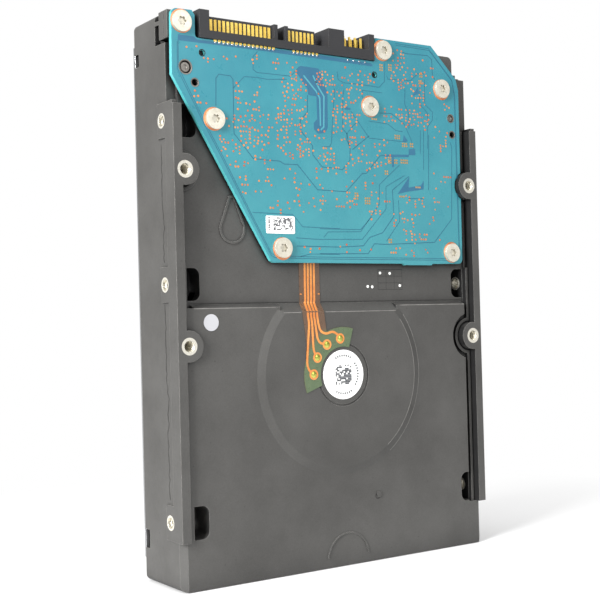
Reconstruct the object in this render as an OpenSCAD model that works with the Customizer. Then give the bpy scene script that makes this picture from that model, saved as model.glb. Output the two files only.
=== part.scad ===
// Hard disk drive of the 3.5-inch form factor, standing on the end away from its connector.
// +Z runs along the length to the connector end, X across the width, and -Y faces the circuit
// board. Shapes are drawn in the drive's own plan: x across, y along the length from the rest
// end, and depth d measured inwards from the mounting plane on the board side.

/* [Casing] */
// Overall length, rest end to connector end
drive_l = 147; // [147:1:178]
// Overall width across the side pads
drive_w = 101.6; // [101.6:0.2:124]
// Overall height, mounting plane to cover top
drive_h = 26.1; // [26.1:0.1:32]
// How far the casting stops short of the connector end
cast_gap = 0.8; // [0.3:0.1:2]
// How far the side walls lie inside the side pads
pad_proud = 0.4; // [0.1:0.1:1]
// Depth of the thick lower floor's outer face
deck_d = 1.2; // [0.8:0.1:1.6]
// Depth of the floor's outer face beside the circuit board
upper_d = 3.4; // [3:0.1:3.8]
// Depth of the inner floor under the heads
floor_d = 6.2; // [6:0.1:7]
// Step from the deck to the upper floor, above the rest end
step_y = 71.7; // [70:0.1:73]

/* [Mounting holes] */
// Radius of the 6-32 screw holes
hole_r = 1.42; // [1.2:0.02:1.7]
// Spacing of the bottom holes across the drive
bottom_span = 95.25; // [95:0.05:97]
// First bottom hole from the connector end
bottom_first = 41.28; // [38:0.01:44]
// Spacing of the bottom holes along the drive
bottom_pitch = 44.45; // [40:0.05:46]
// Depth of the bottom holes
bottom_deep = 5.6; // [4:0.1:5.6]
// Depth of the side holes' axes behind the mounting plane
side_d = 6.35; // [6:0.05:7]
// Side holes from the connector end: first, second and third
side_first = 28.5; // [27:0.1:30]
// Second side hole from the connector end
side_second = 70.1; // [68:0.1:72]
// Third side hole from the connector end
side_third = 130.1; // [128:0.1:132]

/* [Circuit board] */
// Board thickness
board_t = 1.2; // [0.8:0.1:1.2]
// Depth of the board's outer face
board_d = 1.5; // [1.2:0.1:1.5]
// Board length from the connector end
board_l = 64.5; // [62:0.5:66]

/* [Spindle] */
// Spindle axis above the rest end
spindle_y = 52; // [52:0.5:56]
// Platter radius
platter_r = 47.5; // [39:0.5:47.5]
// Platter bore radius
platter_bore = 12.5; // [12:0.1:13]
// Platter thickness
platter_t = 1.27; // [1:0.01:1.4]
// Gap between platters
platter_gap = 2.2; // [1.8:0.1:2.4]
// Depth of the first platter's lower face
platter_d = 8.8; // [8.6:0.1:9]
// Radius of the fixed spindle shaft
shaft_r = 2.5; // [2:0.1:2.9]

/* [Actuator] */
// Pivot axis to the right of the spindle axis
pivot_dx = 12; // [11:0.5:13]
// Pivot axis above the spindle axis
pivot_dy = 58; // [57:0.5:59]
// Pivot to head distance
head_l = 53.5; // [52.5:0.1:54]
// Angle of the arms when parked on the ramp
park_a = 204.5; // [204:0.5:206]
// Swing from the ramp to the inner stop
swing_a = 34; // [20:1:34]
// Swing of the inertia latch
latch_a = 9; // [5:1:10]

/* [Hidden] */
$fn = 96;
eps = 0.01;
fit = 0.05;
clear = 0.3;
cast_l = drive_l - cast_gap;
wall_x = drive_w / 2 - pad_proud;
pad_x = drive_w / 2;
rim_d = drive_h - 4.7;
gasket_t = 0.4;
sheet_t = 0.9;
flange_d = rim_d + gasket_t + 0.8;
label_t = 0.1;
dome_in_d = drive_h - label_t - sheet_t + 0.1;
board_back = board_d + board_t;
rail_x = wall_x - 2.1;
rail_y0 = 12.3;
rail_y1 = drive_l - 24.8;
boss_r = 4;
side_y = [drive_l - side_first, drive_l - side_second, drive_l - side_third];
bottom_y = [drive_l - bottom_first, drive_l - bottom_first - bottom_pitch];
pocket_d = 5.2;
socket_x = pad_x - 4.0;
lower_in_d = 4.4;
hub_r = platter_bore - fit;
pitch = platter_t + platter_gap;
stack_d = platter_d + 4 * platter_t + 3 * platter_gap;
cavity_r = platter_r + 0.8;
lobby_y = spindle_y + cavity_r - 16.3;
pivot_x = pivot_dx;
pivot_y = spindle_y + pivot_dy;
tie_d = drive_h - 2.2;
lobby_l = drive_l - 7;
yoke_d = [floor_d, floor_d + 2.6, 19.8, 22.4];
magnet_t = 2.5;
coil_d = [13, 16];
coil_r = [14, 26];
coil_half = 15.5;
frame_half = 19;
frame_r = 27.5;
tooth_r = 29;
clamp_d = [stack_d, stack_d + 1.1];
arm_d = [for (i = [0:4]) platter_d - platter_gap / 2 + i * pitch];
board_screw_at = [[-47.1, 3.8], [17.5, 4], [39, 13], [12.3, 20.5], [-38, 27.8],
    [-18.2, 60.6], [41.3, 61.2]];
cover_screw_at = [[wall_x - 5.2, 5.6], [wall_x - 3.8, 101], [wall_x - 4.9, drive_l - 4.6]];
latch_pin_at = [39.6, pivot_y + 20];

// ---- helpers ----

// Turns the flat plan so that it stands on its rest end
module stand() translate([0, -drive_h / 2, 0]) rotate([90, 0, 0]) children();

// A plan shape made solid between two depths
module slab(d0, d1) translate([0, 0, -d1]) linear_extrude(d1 - d0) children();

// A profile of (y, -depth) run across the drive
module across(x0, x1) translate([x0, 0, 0]) rotate([90, 0, 90]) linear_extrude(x1 - x0) children();

// A profile of (x, -depth) run along the drive
module along(y0, y1) translate([0, y1, 0]) rotate([90, 0, 0]) linear_extrude(y1 - y0) children();

module both_sides() {
    children();
    mirror([1, 0, 0]) children();
}

module at_spindle() translate([0, spindle_y, 0]) children();
module at_pivot(a = 0) translate([pivot_x, pivot_y, 0]) rotate([0, 0, a]) children();
module at_end(p) translate([p[0], drive_l - p[1], 0]) children();

module rect(x0, y0, x1, y1) translate([x0, y0]) square([x1 - x0, y1 - y0]);

// Rectangle with round corners
module rrect(x0, y0, x1, y1, r) {
    rect(x0 + r, y0, x1 - r, y1);
    rect(x0, y0 + r, x1, y1 - r);
    for (x = [x0 + r, x1 - r], y = [y0 + r, y1 - r]) translate([x, y]) circle(r);
}

module rod(r, d0, d1) slab(d0, d1) circle(r);

module tube(r0, r1, d0, d1) slab(d0, d1) difference() {
    circle(r1);
    circle(r0);
}

// Slice of pie between two angles, at most 160 degrees wide
module wedge(a0, a1, r) {
    am = (a0 + a1) / 2;
    k = r / cos((a1 - a0) / 4);
    polygon([[0, 0], k * [cos(a0), sin(a0)], k * 1.2 * [cos(am), sin(am)], k * [cos(a1), sin(a1)]]);
}

module sector(r0, r1, a0, a1) intersection() {
    difference() {
        circle(r1);
        circle(r0);
    }
    wedge(a0, a1, r1 * 1.3);
}

// Solid of revolution from a profile of (radius, -depth) points
module turned() rotate_extrude() children();

function arc(c, r, a0, a1, n = 6) =
    [for (i = [0:n]) c + r * [cos(a0 + (a1 - a0) * i / n), sin(a0 + (a1 - a0) * i / n)]];

module star(r) {
    circle(r * 0.8, $fn = 24);
    for (i = [0:5]) rotate(60 * i) translate([r * 0.75, 0]) circle(r * 0.3, $fn = 24);
}

// ---- casing ----

module outline2d(inset = 0)
    rrect(-wall_x + inset, inset, wall_x - inset, cast_l - inset, 1.6);

// Plan of the sealed chamber, grown by g
module cavity2d(g = 0) {
    at_spindle() circle(cavity_r + g);
    rrect(-42 - g, lobby_y - g, 42 + g, lobby_l + g, 5 + g);
    rrect(20 - g, pivot_y - 1.5 - g, 44.5 + g, lobby_l - 3 + g, 4 + g);
    rrect(-46.8 - g, pivot_y - 27.4 - g, -30 + g, pivot_y - 13.4 + g, 1.5 + g);
    rrect(-41.6 - g, pivot_y - 33 - g, -30 + g, pivot_y - 20 + g, 1.5 + g);
}

// Deeper part of the chamber, under the voice coil and beside the connector
module pit2d() {
    rrect(-41.5, lobby_y, 41.5, lobby_l - 5.4, 5);
    rrect(16.5, pivot_y, 41.5, lobby_l - 0.5, 4);
    rrect(-46.8, pivot_y - 27.4, -30, pivot_y - 13.4, 1.5);
    rrect(-41.6, pivot_y - 33, -30, pivot_y - 20, 1.5);
}

// Bay behind the board, clear of the screw bosses and the pivot boss
module board_bay2d(inset = 0) difference() {
    union() {
        rrect(-29 + inset, drive_l - 46 + inset, 37 - inset, drive_l - 12.5 - inset, 2);
        rrect(-20 + inset, drive_l - 54 + inset, 37 - inset, drive_l - 44 - inset, 2);
    }
    board_boss2d(inset);
    translate([pivot_x, pivot_y]) circle(4 + inset);
}

module connector_bay2d() rrect(0, drive_l - 62, 37, drive_l - 50, 2);

// Rail with its screw bosses, grown inwards by g
module rail2d(g = 0) intersection() {
    union() {
        rect(rail_x - g, rail_y0, wall_x + 5, rail_y1);
        for (y = bottom_y) translate([bottom_span / 2, y]) circle(boss_r + g);
    }
    rect(0, rail_y0, pad_x, rail_y1);
}

// Thin rib that follows the rail between two heights
module rib2d(y0, y1) intersection() {
    difference() {
        rail2d(1.3);
        rail2d(0.4);
    }
    rect(0, y0, pad_x, y1);
}

// Outer floor: deck, raised motor ring, step and the lower floor by the board
module floor_block() {
    slab(upper_d, rim_d) outline2d();
    slab(deck_d, rim_d) intersection() {
        outline2d();
        rect(-pad_x, -1, pad_x, step_y - 0.9);
    }
    across(-rail_x + 2.8, rail_x - 2.8)
        polygon([[step_y - 2, -deck_d], [step_y - 0.9, -deck_d], [step_y, -upper_d - eps],
            [step_y - 2, -upper_d - eps]]);
    intersection() {
        at_spindle() turned()
            polygon([[0, -0.5], [25.1, -0.5], [27.3, -deck_d], [27.3, -4], [0, -4]]);
        across(-28, 28)
            polygon([[10, -0.2], [step_y - 2.4, -0.5], [step_y, -upper_d], [step_y, -5], [10, -5]]);
    }
}

module board_boss2d(g = 0) for (p = board_screw_at) translate([p[0], drive_l - p[1]]) circle(3.3 + g);

// Corner blocks at the connector end, which carry two of the board screws
module corner_blocks() {
    slab(board_back, 8) rect(-wall_x, drive_l - 7.9, -43.4, cast_l);
    slab(board_back, 8) rect(15.2, drive_l - 7.4, 34, cast_l);
}

module casing_front_cuts() {
    // groove beside the right rail
    slab(-1, 3) rail2d(2.8);
    both_sides() {
        // lower shoulder beyond the rail's end
        slab(-1, 4.2) rect(rail_x - 0.6, rail_y1, pad_x + 1, drive_l - 8.9);
        // gap in front of the corner block
        slab(-1, 9.5) rect(wall_x - 4, drive_l - 8.9, pad_x + 1, drive_l - 7.9);
        // lead-in bevel at the rest end
        along(-1, rail_y0) polygon([[wall_x - 1.6, -deck_d + eps], [wall_x + 1, 1],
            [wall_x + 1, -2.7], [wall_x, -2.7]]);
    }
    // slots in the side of the left corner block
    slab(7.2, 9.4) rect(-wall_x - 1, drive_l - 8, -wall_x + 1.6, drive_l - 3.8);
    slab(7.2, 9.4) rect(-wall_x - 1, drive_l - 2.8, -wall_x + 1.6, cast_l + 1);
    slab(4.5, 4.75) rect(-wall_x - 1, drive_l - 8, -wall_x + 0.3, cast_l + 1);
    // right corner lies deep
    slab(-1, 9.3) rect(wall_x - 13, drive_l - 7.9, pad_x + 1, cast_l + 1);
    // bay of the connector
    slab(-1, 9.2) rect(-42.6, drive_l - 11, 14.8, drive_l + 1);
    // shallow bay behind the board's components
    slab(-1, pocket_d) {
        board_bay2d();
        connector_bay2d();
    }
    // bevel at the top of the motor ring, which the flex film follows
    across(-19.6, 19.6) polygon([[step_y - 2.4, -0.5], [step_y - 2.4, 1], [step_y + 2, 1],
        [step_y + 2, -upper_d], [step_y, -upper_d]]);
    // groove ring about the motor label
    at_spindle() tube(8.1, 8.6, -1, 0.7);
    // servo hole under the round seal
    translate([-40.6, spindle_y + 15.1, 0]) rod(1.5, 0, lower_in_d + 1);
}

module casing_side_cuts() {
    both_sides() {
        for (y = side_y) {
            translate([socket_x - 2, y, -side_d]) rotate([0, 90, 0]) cylinder(r = hole_r, h = 8);
            slab(-1, side_d + 2.2) intersection() {
                rrect(socket_x - 4.3, y - 4.2, socket_x + 4, y + 4.2, 2);
                rect(0, y - 5, socket_x, y + 5);
            }
        }
        for (y = bottom_y) translate([bottom_span / 2, y, 0]) rod(hole_r, -1, bottom_deep);
        // lifting notches by the cover
        slab(rim_d - 2.4, rim_d + 1) rect(wall_x - 1.2, 8.6, pad_x + 1, 13.4);
        slab(rim_d - 2.4, rim_d + 1) rect(wall_x - 1.2, drive_l - 12.2, pad_x + 1, drive_l - 8.9);
    }
}

module casing_chamber() {
    slab(9.6, rim_d + 1) cavity2d();
    slab(floor_d, rim_d) pit2d();
    slab(floor_d, rim_d) at_spindle() circle(cavity_r);
    slab(lower_in_d, rim_d) intersection() {
        at_spindle() circle(cavity_r);
        rect(-pad_x, 0, pad_x, step_y - 1.3);
    }
    at_spindle() rod(13.2, 3, 9);
    both_sides() for (p = cover_screw_at) translate(p) rod(1.05, rim_d - 7, rim_d + 1);
}

// Boss that holds the shaft and carries the stator
module motor_boss() at_spindle() turned()
    polygon([[0, -2], [5.9, -2], [5.9, -8.9], [4.9, -8.9], [4.9, -4], [0, -4]]);

module casing_bosses() {
    slab(board_back, floor_d - 0.5) board_boss2d();
    both_sides() {
        slab(0, 4.5) rail2d(0);
        slab(1.9, 4) rib2d(rail_y0, drive_l - board_l - 1);
        slab(board_back + 0.1, 4) rib2d(drive_l - board_l - 2, rail_y1);
        // pads about the side holes
        for (y = side_y)
            slab(y > rail_y1 - 9 ? 0.6 : 0, 8.5) rect(wall_x - 1, y - 4.5, pad_x, y + 4.5);
        // inner bosses behind the bottom holes
        for (y = bottom_y) slab(lower_in_d - 1, bottom_deep + 1)
            translate([bottom_span / 2 - 0.6, y]) circle(3);
    }
}

// Thin raised outlines cast into the floor
module casting_marks() {
    slab(deck_d - 0.25, deck_d + 0.5) translate([0.7, 2]) difference() {
        circle(7.0);
        circle(6.6);
        rect(-8, -8, 8, 0.6);
    }
    slab(upper_d - 0.3, upper_d + 0.5) translate([-32.5, drive_l - 55.7]) difference() {
        union() {
            circle(3.9);
            polygon([[-3.7, 1.2], [3.7, 1.2], [0.9, 8.6], [-0.9, 8.6]]);
        }
        circle(3.3);
        polygon([[-3.1, 0.8], [3.1, 0.8], [0.4, 8], [-0.4, 8]]);
    }
    slab(deck_d - 0.3, deck_d + 0.5) translate([11.7, 18.1]) circle(0.8);
}

module base_casting() color([0.38, 0.38, 0.37]) stand() difference() {
    union() {
        difference() {
            union() {
                floor_block();
                corner_blocks();
            }
            casing_front_cuts();
            casing_chamber();
        }
        intersection() {
            casing_bosses();
            slab(-1, rim_d) union() {
                rect(-pad_x, 0, pad_x, cast_l);
            }
        }
        motor_boss();
        casting_marks();
    }
    casing_side_cuts();
    at_spindle() rod(shaft_r + 0.02, 1.8, 5);
    for (p = board_screw_at) at_end(p) rod(1.05, 0, floor_d - 0.4);
    translate([-44.5, pivot_y - 17, 0]) rod(1.05, 4.2, floor_d + 1);
    at_pivot() rod(1.55, 4.4, floor_d + 1);
}

module flange2d() {
    c = 5.5;
    x = wall_x - 0.3;
    y1 = cast_l - 0.3;
    polygon([[-x + c, 0.4], [x - c, 0.4], [x, 0.4 + c], [x, y1 - c], [x - c, y1], [-x + c, y1],
        [-x, y1 - c], [-x, 0.4 + c]]);
}

module tie_points() {
    at_spindle() children();
    at_pivot() children();
}

module top_cover() color([0.7, 0.71, 0.72]) stand() difference() {
    union() {
        slab(rim_d + gasket_t, flange_d) flange2d();
        slab(flange_d - eps, drive_h - 0.5) cavity2d(0.2);
        slab(drive_h - 0.5 - eps, drive_h) cavity2d(-0.3);
    }
    difference() {
        slab(rim_d, dome_in_d) cavity2d(-0.7);
        tie_points() rod(5.5, tie_d, drive_h);
    }
    tie_points() rod(4.6, tie_d + sheet_t, drive_h + 1);
    tie_points() rod(1.6, tie_d - 1, drive_h);
    slab(drive_h - label_t, drive_h + 1) label2d(0.1);
    both_sides() for (p = cover_screw_at) translate(p) rod(1.3, rim_d, drive_h);
    translate([-25, drive_l - 22, 0]) rod(0.8, rim_d, drive_h + 1);
}

module cover_gasket() color([0.12, 0.12, 0.13]) stand() slab(rim_d, rim_d + gasket_t)
    intersection() {
        difference() {
            cavity2d(2);
            cavity2d(0.4);
        }
        rect(-wall_x + 0.4, 0.4, wall_x - 0.4, cast_l - 0.4);
    }

// Star-recess screw along the depth, its head at depth d and its shank running inwards or outwards
module screw(head_r, head_h, shank_r, shank_l) difference() {
    union() {
        rod(head_r, -head_h, -head_h * 0.4);
        turned() polygon([[0, 0], [head_r, 0], [head_r, head_h * 0.5], [head_r * 0.8, head_h], [0, head_h]]);
        rod(shank_r, -eps, shank_l);
    }
    slab(-head_h - 1, -head_h * 0.35) star(head_r * 0.42);
}

module screw_from_cover(head_r, head_h, shank_r, shank_l)
    mirror([0, 0, 1]) screw(head_r, head_h, shank_r, shank_l);

module cover_screws() color([0.6, 0.6, 0.6]) stand() both_sides() for (p = cover_screw_at)
    translate([p[0], p[1], -flange_d]) screw_from_cover(2.5, 1.2, 1, 5.5);

module tie_screws() color([0.6, 0.6, 0.6]) stand() tie_points()
    translate([0, 0, -tie_d - sheet_t]) screw_from_cover(2.9, 1.1, 1.45, 5);

module label2d(g = 0) difference() {
    x = cavity_r - 13.3;
    rrect(-x - g, spindle_y - cavity_r + 22.3 - g, x + g, drive_l - 13 + g, 2);
    tie_points() circle(6 - g);
    translate([-25, drive_l - 22]) circle(2 - g);
}

module cover_label() color([0.93, 0.93, 0.92]) stand() slab(drive_h - label_t, drive_h) label2d();

module breather_filter() color([0.85, 0.85, 0.8]) stand()
    translate([-25, drive_l - 22, 0]) rod(5, dome_in_d - 2, dome_in_d);

// ---- circuit board ----

module board2d() difference() {
    t = drive_l;
    polygon(concat(
        arc([-48.3, t - 2.1], 1.5, 180, 90, 5),
        [[-43.9, t - 0.5], [-43.1, t - 1.7]],
        arc([-42.3, t - 6.6], 0.8, 180, 270, 5),
        [[14.3, t - 7.4], [14.9, t - 0.7], [35.5, t - 0.6], [44.9, t - 9.6], [45.8, t - 13]],
        arc([44.1, t - board_l + 1.6], 1.5, 0, -90, 5),
        [[34, t - board_l], [33.6, t - board_l - 0.4], [23.7, t - board_l - 0.4],
            [23.3, t - board_l], [-21, t - board_l]],
        [[-21.9, t - board_l + 0.5], [-50, t - 17.3]]));
    for (y = bottom_y) translate([bottom_span / 2, y]) circle(boss_r + 0.3);
    for (p = board_screw_at) translate([p[0], t - p[1]]) circle(1.2);
    translate([-46.1, t - 15.2]) circle(1.8);
    translate([-41.2, t - 11.1]) circle(0.75);
    translate([-43.5, t - 18.9]) circle(1.05);
    translate([42.4, t - 21.4]) circle(1.15);
    translate([42.8, t - 26.2]) circle(1.05);
    translate([14.3, t - 11.2]) circle(0.75);
}

module circuit_board() color([0.3, 0.68, 0.74]) stand() slab(board_d, board_back) board2d();

module board_screws() color([0.85, 0.84, 0.8]) stand() for (p = board_screw_at)
    at_end(p) translate([0, 0, -board_d]) screw(2.7, 0.9, 1, 4.2);

// ---- connector ----

plug_x = [-42, 14.2];
tongue_d = [3.5, 4.7];
power_x = [-38.4, -18.4];
signal_x = [-13.9, -4.6];
contact_pitch = 1.27;
contact_t = 0.14;
wall_top = drive_l - 5.2;

function contact_x(i, first) = first + i * contact_pitch;

// One bent contact: tail on the board, riser through the housing and blade on the tongue
module contact(w, g = 0) across(-w / 2 - g, w / 2 + g) polygon([
    [drive_l - 7.9 - g, -board_d - g], [drive_l - 7.9 - g, -board_d + contact_t + g],
    [drive_l - 6.6 + g, -board_d + contact_t + g], [drive_l - 6.6 + g, -tongue_d[0] + contact_t + g],
    [drive_l - 1.6 + g, -tongue_d[0] + contact_t + g], [drive_l - 1.6 + g, -tongue_d[0] - g],
    [drive_l - 6.6 - contact_t - g, -tongue_d[0] - g], [drive_l - 6.6 - contact_t - g, -board_d - g]]);

module all_contacts(g = 0) {
    for (i = [0:14]) translate([contact_x(i, power_x[0] + 1.1), 0, 0]) contact(0.8, g);
    for (i = [0:6]) translate([contact_x(i, signal_x[0] + 0.85), 0, 0]) contact(0.7, g);
}

module pin_places() for (i = [0:3], d = [3.2, 5.2]) translate([5 + 2 * i, 0, -d]) children();

module jumper_pin(g = 0)
    translate([-0.25 - g, drive_l - 9.5 - g, -0.25 - g])
        cube([0.5 + 2 * g, 8.5 + g, 0.5 + 2 * g]);

module sata_housing() color([0.2, 0.2, 0.21]) stand() difference() {
    union() {
        slab(1, 8.8) rect(plug_x[0], drive_l - 7.3, plug_x[1], drive_l - 6.2);
        slab(board_back + 0.05, 8.8) rect(plug_x[0], drive_l - 10.6, plug_x[1], drive_l - 7.2);
        slab(1, 2.3) rect(plug_x[0] + 1, drive_l - 7, -1.6, wall_top);
        slab(7.6, 8.8) rect(plug_x[0], drive_l - 7, plug_x[1], drive_l - 0.6);
        slab(1, 8.8) rect(plug_x[0], drive_l - 7, plug_x[0] + 2.9, drive_l);
        slab(1, 8.8) rect(-1.6, drive_l - 7, 3.7, drive_l);
        slab(1, 8.8) rect(12.2, drive_l - 7, plug_x[1], drive_l);
        slab(1, 1.8) rect(3.6, drive_l - 7, 12.3, drive_l - 4.4);
        slab(tongue_d[0], tongue_d[1]) rect(power_x[0], drive_l - 7, power_x[1], drive_l - 0.9);
        slab(tongue_d[0], tongue_d[1]) rect(signal_x[0], drive_l - 7, signal_x[1], drive_l - 0.9);
        slab(2.6, 6.2) rect(power_x[1] - eps, drive_l - 7, power_x[1] + 1.2, drive_l - 0.7);
        slab(2.6, 6.2) rect(signal_x[0] - 1, drive_l - 7, signal_x[0] + eps, drive_l - 0.7);
    }
    all_contacts(0.02);
    pin_places() jumper_pin(0.02);
}

module sata_contacts() color([0.83, 0.62, 0.28]) stand() all_contacts();

module jumper_pins() color([0.83, 0.66, 0.35]) stand() pin_places() jumper_pin();

// ---- parts on the board's hidden face ----

module chip(x, from_end, w, l, h)
    slab(board_back, board_back + h) rrect(x - w / 2, drive_l - from_end - l / 2, x + w / 2,
        drive_l - from_end + l / 2, 0.3);

module controller_chip() color([0.1, 0.1, 0.1]) stand() chip(-21, 34, 14, 14, 1.4);
module memory_chip() color([0.1, 0.1, 0.1]) stand() chip(-1, 33, 10, 12, 1.1);
module motor_driver_chip() color([0.1, 0.1, 0.1]) stand() chip(23.5, 40, 9, 9, 1);

module board_components() color([0.5, 0.45, 0.35]) stand() {
    for (i = [0:5]) chip(9 + 3.6 * i, 29, 1.6, 3.2, 1.2);
    for (i = [0:6]) chip(-28 + 3 * i, 22, 1.2, 2, 0.9);
    for (i = [0:2]) chip(-8 + 8 * i, 49, 5, 5, 1.9);
    for (i = [0:3]) chip(28 + 2.4 * i, 50, 1.2, 2, 0.9);
    chip(31, 39, 4, 7, 1.5);
    chip(-9.8, 59.6, 6, 2.4, upper_d - flex_t - board_back - 0.03);
}

module board_insulator() color([0.15, 0.15, 0.16]) stand() slab(pocket_d - 0.4, pocket_d)
    board_bay2d(0.6);

module head_connector() color([0.14, 0.14, 0.15]) stand() difference() {
    chip(12, 57.5, 16, 3.6, 2.2);
    for (i = [0:9]) translate([5.7 + 1.4 * i, drive_l - 57.5, 0]) rod(0.4, board_back + 1.2, 6);
}

// ---- motor flex and stickers on the deck ----

flex_t = 0.12;
pad_circle_r = 9.9;

module flex_plan() {
    polygon([[-11.9, drive_l - 58], [-11.9, step_y + 0.4], [-13, step_y - 2.6], [-12.3, step_y - 7.7],
        [-11.4, spindle_y + 4], [-5, spindle_y + 9], [-5.6, step_y - 5.7], [-6, step_y - 2.6],
        [-5.2, step_y + 0.4], [-5.2, drive_l - 58]]);
    at_spindle() sector(7.6, 13, 74, 200);
}

module motor_flex() color([0.45, 0.4, 0.33]) stand() intersection() {
    across(-20, 5) polygon([
        [30, -0.5 + flex_t], [step_y - 2.4, -0.5 + flex_t], [step_y + flex_t / 2, -upper_d + flex_t],
        [drive_l, -upper_d + flex_t], [drive_l, -upper_d], [step_y, -upper_d],
        [step_y - 2.4, -0.5], [30, -0.5]]);
    slab(-1, 5) flex_plan();
}

module motor_flex_pads() color([0.72, 0.72, 0.42]) stand() at_spindle() for (i = [0:3])
    rotate(95 + 27.5 * i) translate([pad_circle_r, 0, 0])
        rod(0.8, 0.5 - flex_t - 0.25, 0.5 - flex_t);

module motor_label() color([0.97, 0.97, 0.96]) stand() at_spindle() rod(6.75, 0.4, 0.5);

module hole_seal() color([0.95, 0.95, 0.94]) stand()
    translate([-40.6, spindle_y + 15.1, 0]) rod(2.15, deck_d - 0.1, deck_d);

// ---- spindle ----

module spindle_shaft() color([0.75, 0.75, 0.77]) stand() at_spindle() difference() {
    rod(shaft_r, 1.8, tie_d);
    rod(1.5, tie_d - 6, tie_d + 1);
}

stator_d = [5.2, 8.6];
teeth = 9;

module tooth2d(i) rotate(360 / teeth * i) {
    translate([6.2, -0.6]) square([2.6, 1.2]);
    intersection() {
        difference() {
            circle(9.3);
            circle(8.6);
        }
        wedge(-15, 15, 12);
    }
}

module motor_stator() color([0.45, 0.46, 0.48]) stand() at_spindle() slab(stator_d[0], stator_d[1]) {
    difference() {
        circle(6.7);
        circle(5.95);
    }
    for (i = [0:teeth - 1]) tooth2d(i);
}

module motor_coils() color([0.75, 0.42, 0.2]) stand() at_spindle() for (i = [0:teeth - 1])
    rotate(360 / teeth * i) difference() {
        translate([6.8, -1.05, -stator_d[1] - 0.6]) cube([1.7, 2.1, stator_d[1] - stator_d[0] + 1.2]);
        translate([6, -0.63, -stator_d[1] - 0.03]) cube([3, 1.26, stator_d[1] - stator_d[0] + 0.06]);
    }

module spindle_hub() color([0.8, 0.8, 0.82]) stand() at_spindle() difference() {
    turned() polygon([[4.65, -10.2], [10.95, -10.2], [10.95, -4], [hub_r, -4], [hub_r, -7.3],
        [15.9, -7.3], [15.9, -platter_d], [hub_r, -platter_d], [hub_r, -stack_d + 0.2],
        [4.65, -stack_d + 0.2]]);
    for (i = [0:5]) rotate(60 * i) translate([8.5, 0, 0]) rod(1, stack_d - 5, stack_d + 1);
}

module spindle_sleeve() color([0.72, 0.6, 0.38]) stand() at_spindle()
    tube(shaft_r + 0.03, 4.62, 4.4, stack_d - 0.2);

module rotor_magnet() color([0.3, 0.3, 0.32]) stand() at_spindle() tube(9.75, 10.93, 4.6, 9.6);

module platter(i) color([0.86, 0.87, 0.89]) stand() at_spindle()
    tube(platter_bore, platter_r, platter_d + i * pitch, platter_d + i * pitch + platter_t);

module platter_1() platter(0);
module platter_2() platter(1);
module platter_3() platter(2);
module platter_4() platter(3);

module platter_spacers() color([0.7, 0.71, 0.73]) stand() at_spindle() for (i = [0:2])
    tube(platter_bore, 16, platter_d + i * pitch + platter_t, platter_d + (i + 1) * pitch);

module platter_clamp() color([0.75, 0.76, 0.78]) stand() at_spindle() difference() {
    rod(15.9, clamp_d[0], clamp_d[1]);
    rod(shaft_r + 0.8, 0, drive_h);
    for (i = [0:5]) rotate(60 * i) translate([8.5, 0, 0]) rod(1.1, 0, drive_h);
}

module clamp_screws() color([0.6, 0.6, 0.6]) stand() at_spindle() for (i = [0:5])
    rotate(60 * i) translate([8.5, 0, -clamp_d[1]]) screw_from_cover(1.9, 1, 0.95, 4.8);

// ---- head actuator ----

sleeve_r = 6.1;
bearing_w = 2.6;
arm_l = 36;
susp_t = 0.2;
slider_t = 0.3;
fly_gap = 0.1;
arm_t = platter_gap - 2 * (susp_t + slider_t + fly_gap);
block_d = [arm_d[0] - arm_t / 2, arm_d[4] + arm_t / 2];
bearing_d = [block_d[0] + 1, block_d[1] - bearing_w - 0.88];

module arm2d() difference() {
    union() {
        polygon([[0, 7.4], [arm_l, 3.2], [arm_l, -3.2], [0, -7.4]]);
        translate([arm_l, 0]) circle(3.2);
    }
    polygon([[13, 3.4], [29, 1.6], [29, -1.6], [13, -3.4]]);
    translate([arm_l, 0]) circle(1.2);
}

module arm_block() color([0.75, 0.76, 0.78]) stand() at_pivot(park_a) difference() {
    union() {
        rod(9, block_d[0], block_d[1]);
        slab(10.5, 17.5) rect(-7, -9.3, -0.8, 0);
        for (d = arm_d) slab(d - arm_t / 2, d + arm_t / 2) arm2d();
    }
    rod(sleeve_r, 0, drive_h);
}

module coil_frame2d() {
    difference() {
        sector(9.03, frame_r, -frame_half, frame_half);
        sector(coil_r[0] - 0.05, coil_r[1] + 0.05, -coil_half - 0.1, coil_half + 0.1);
    }
    sector(coil_r[0] + 3.1, coil_r[1] - 3.1, -coil_half + 7.5, coil_half - 7.5);
    sector(frame_r - 0.5, tooth_r, -18, -14);
}

module voice_coil() color([0.75, 0.42, 0.2]) stand() at_pivot(park_a + 180)
    slab(coil_d[0] + 0.2, coil_d[1] - 0.2) difference() {
        sector(coil_r[0], coil_r[1], -coil_half, coil_half);
        sector(coil_r[0] + 3, coil_r[1] - 3, -coil_half + 7, coil_half - 7);
    }

module coil_holder() color([0.82, 0.79, 0.68]) stand() at_pivot(park_a + 180)
    slab(coil_d[0], coil_d[1]) coil_frame2d();

function head_sides() = [for (i = [0:4], s = [-1, 1]) if (!(i == 0 && s < 0) && !(i == 4 && s > 0)) [i, s]];

// Places children on the working face of an arm: depth t0 to t1 off the gap's middle
module on_arm_face(i, s, t0, t1) slab(arm_d[i] + (s > 0 ? t0 : -t1), arm_d[i] + (s > 0 ? t1 : -t0))
    children();

module suspension2d() {
    rect(arm_l - 3, -2.6, arm_l + 3.6, 2.6);
    polygon([[arm_l + 3.5, 2.4], [head_l + 0.4, 0.8], [head_l + 0.4, -0.8], [arm_l + 3.5, -2.4]]);
    rect(head_l, -0.4, head_l + 4.6, 0.4);
}

module suspensions() color([0.8, 0.8, 0.8]) stand() at_pivot(park_a) for (h = head_sides())
    on_arm_face(h[0], h[1], arm_t / 2, arm_t / 2 + susp_t) suspension2d();

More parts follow.
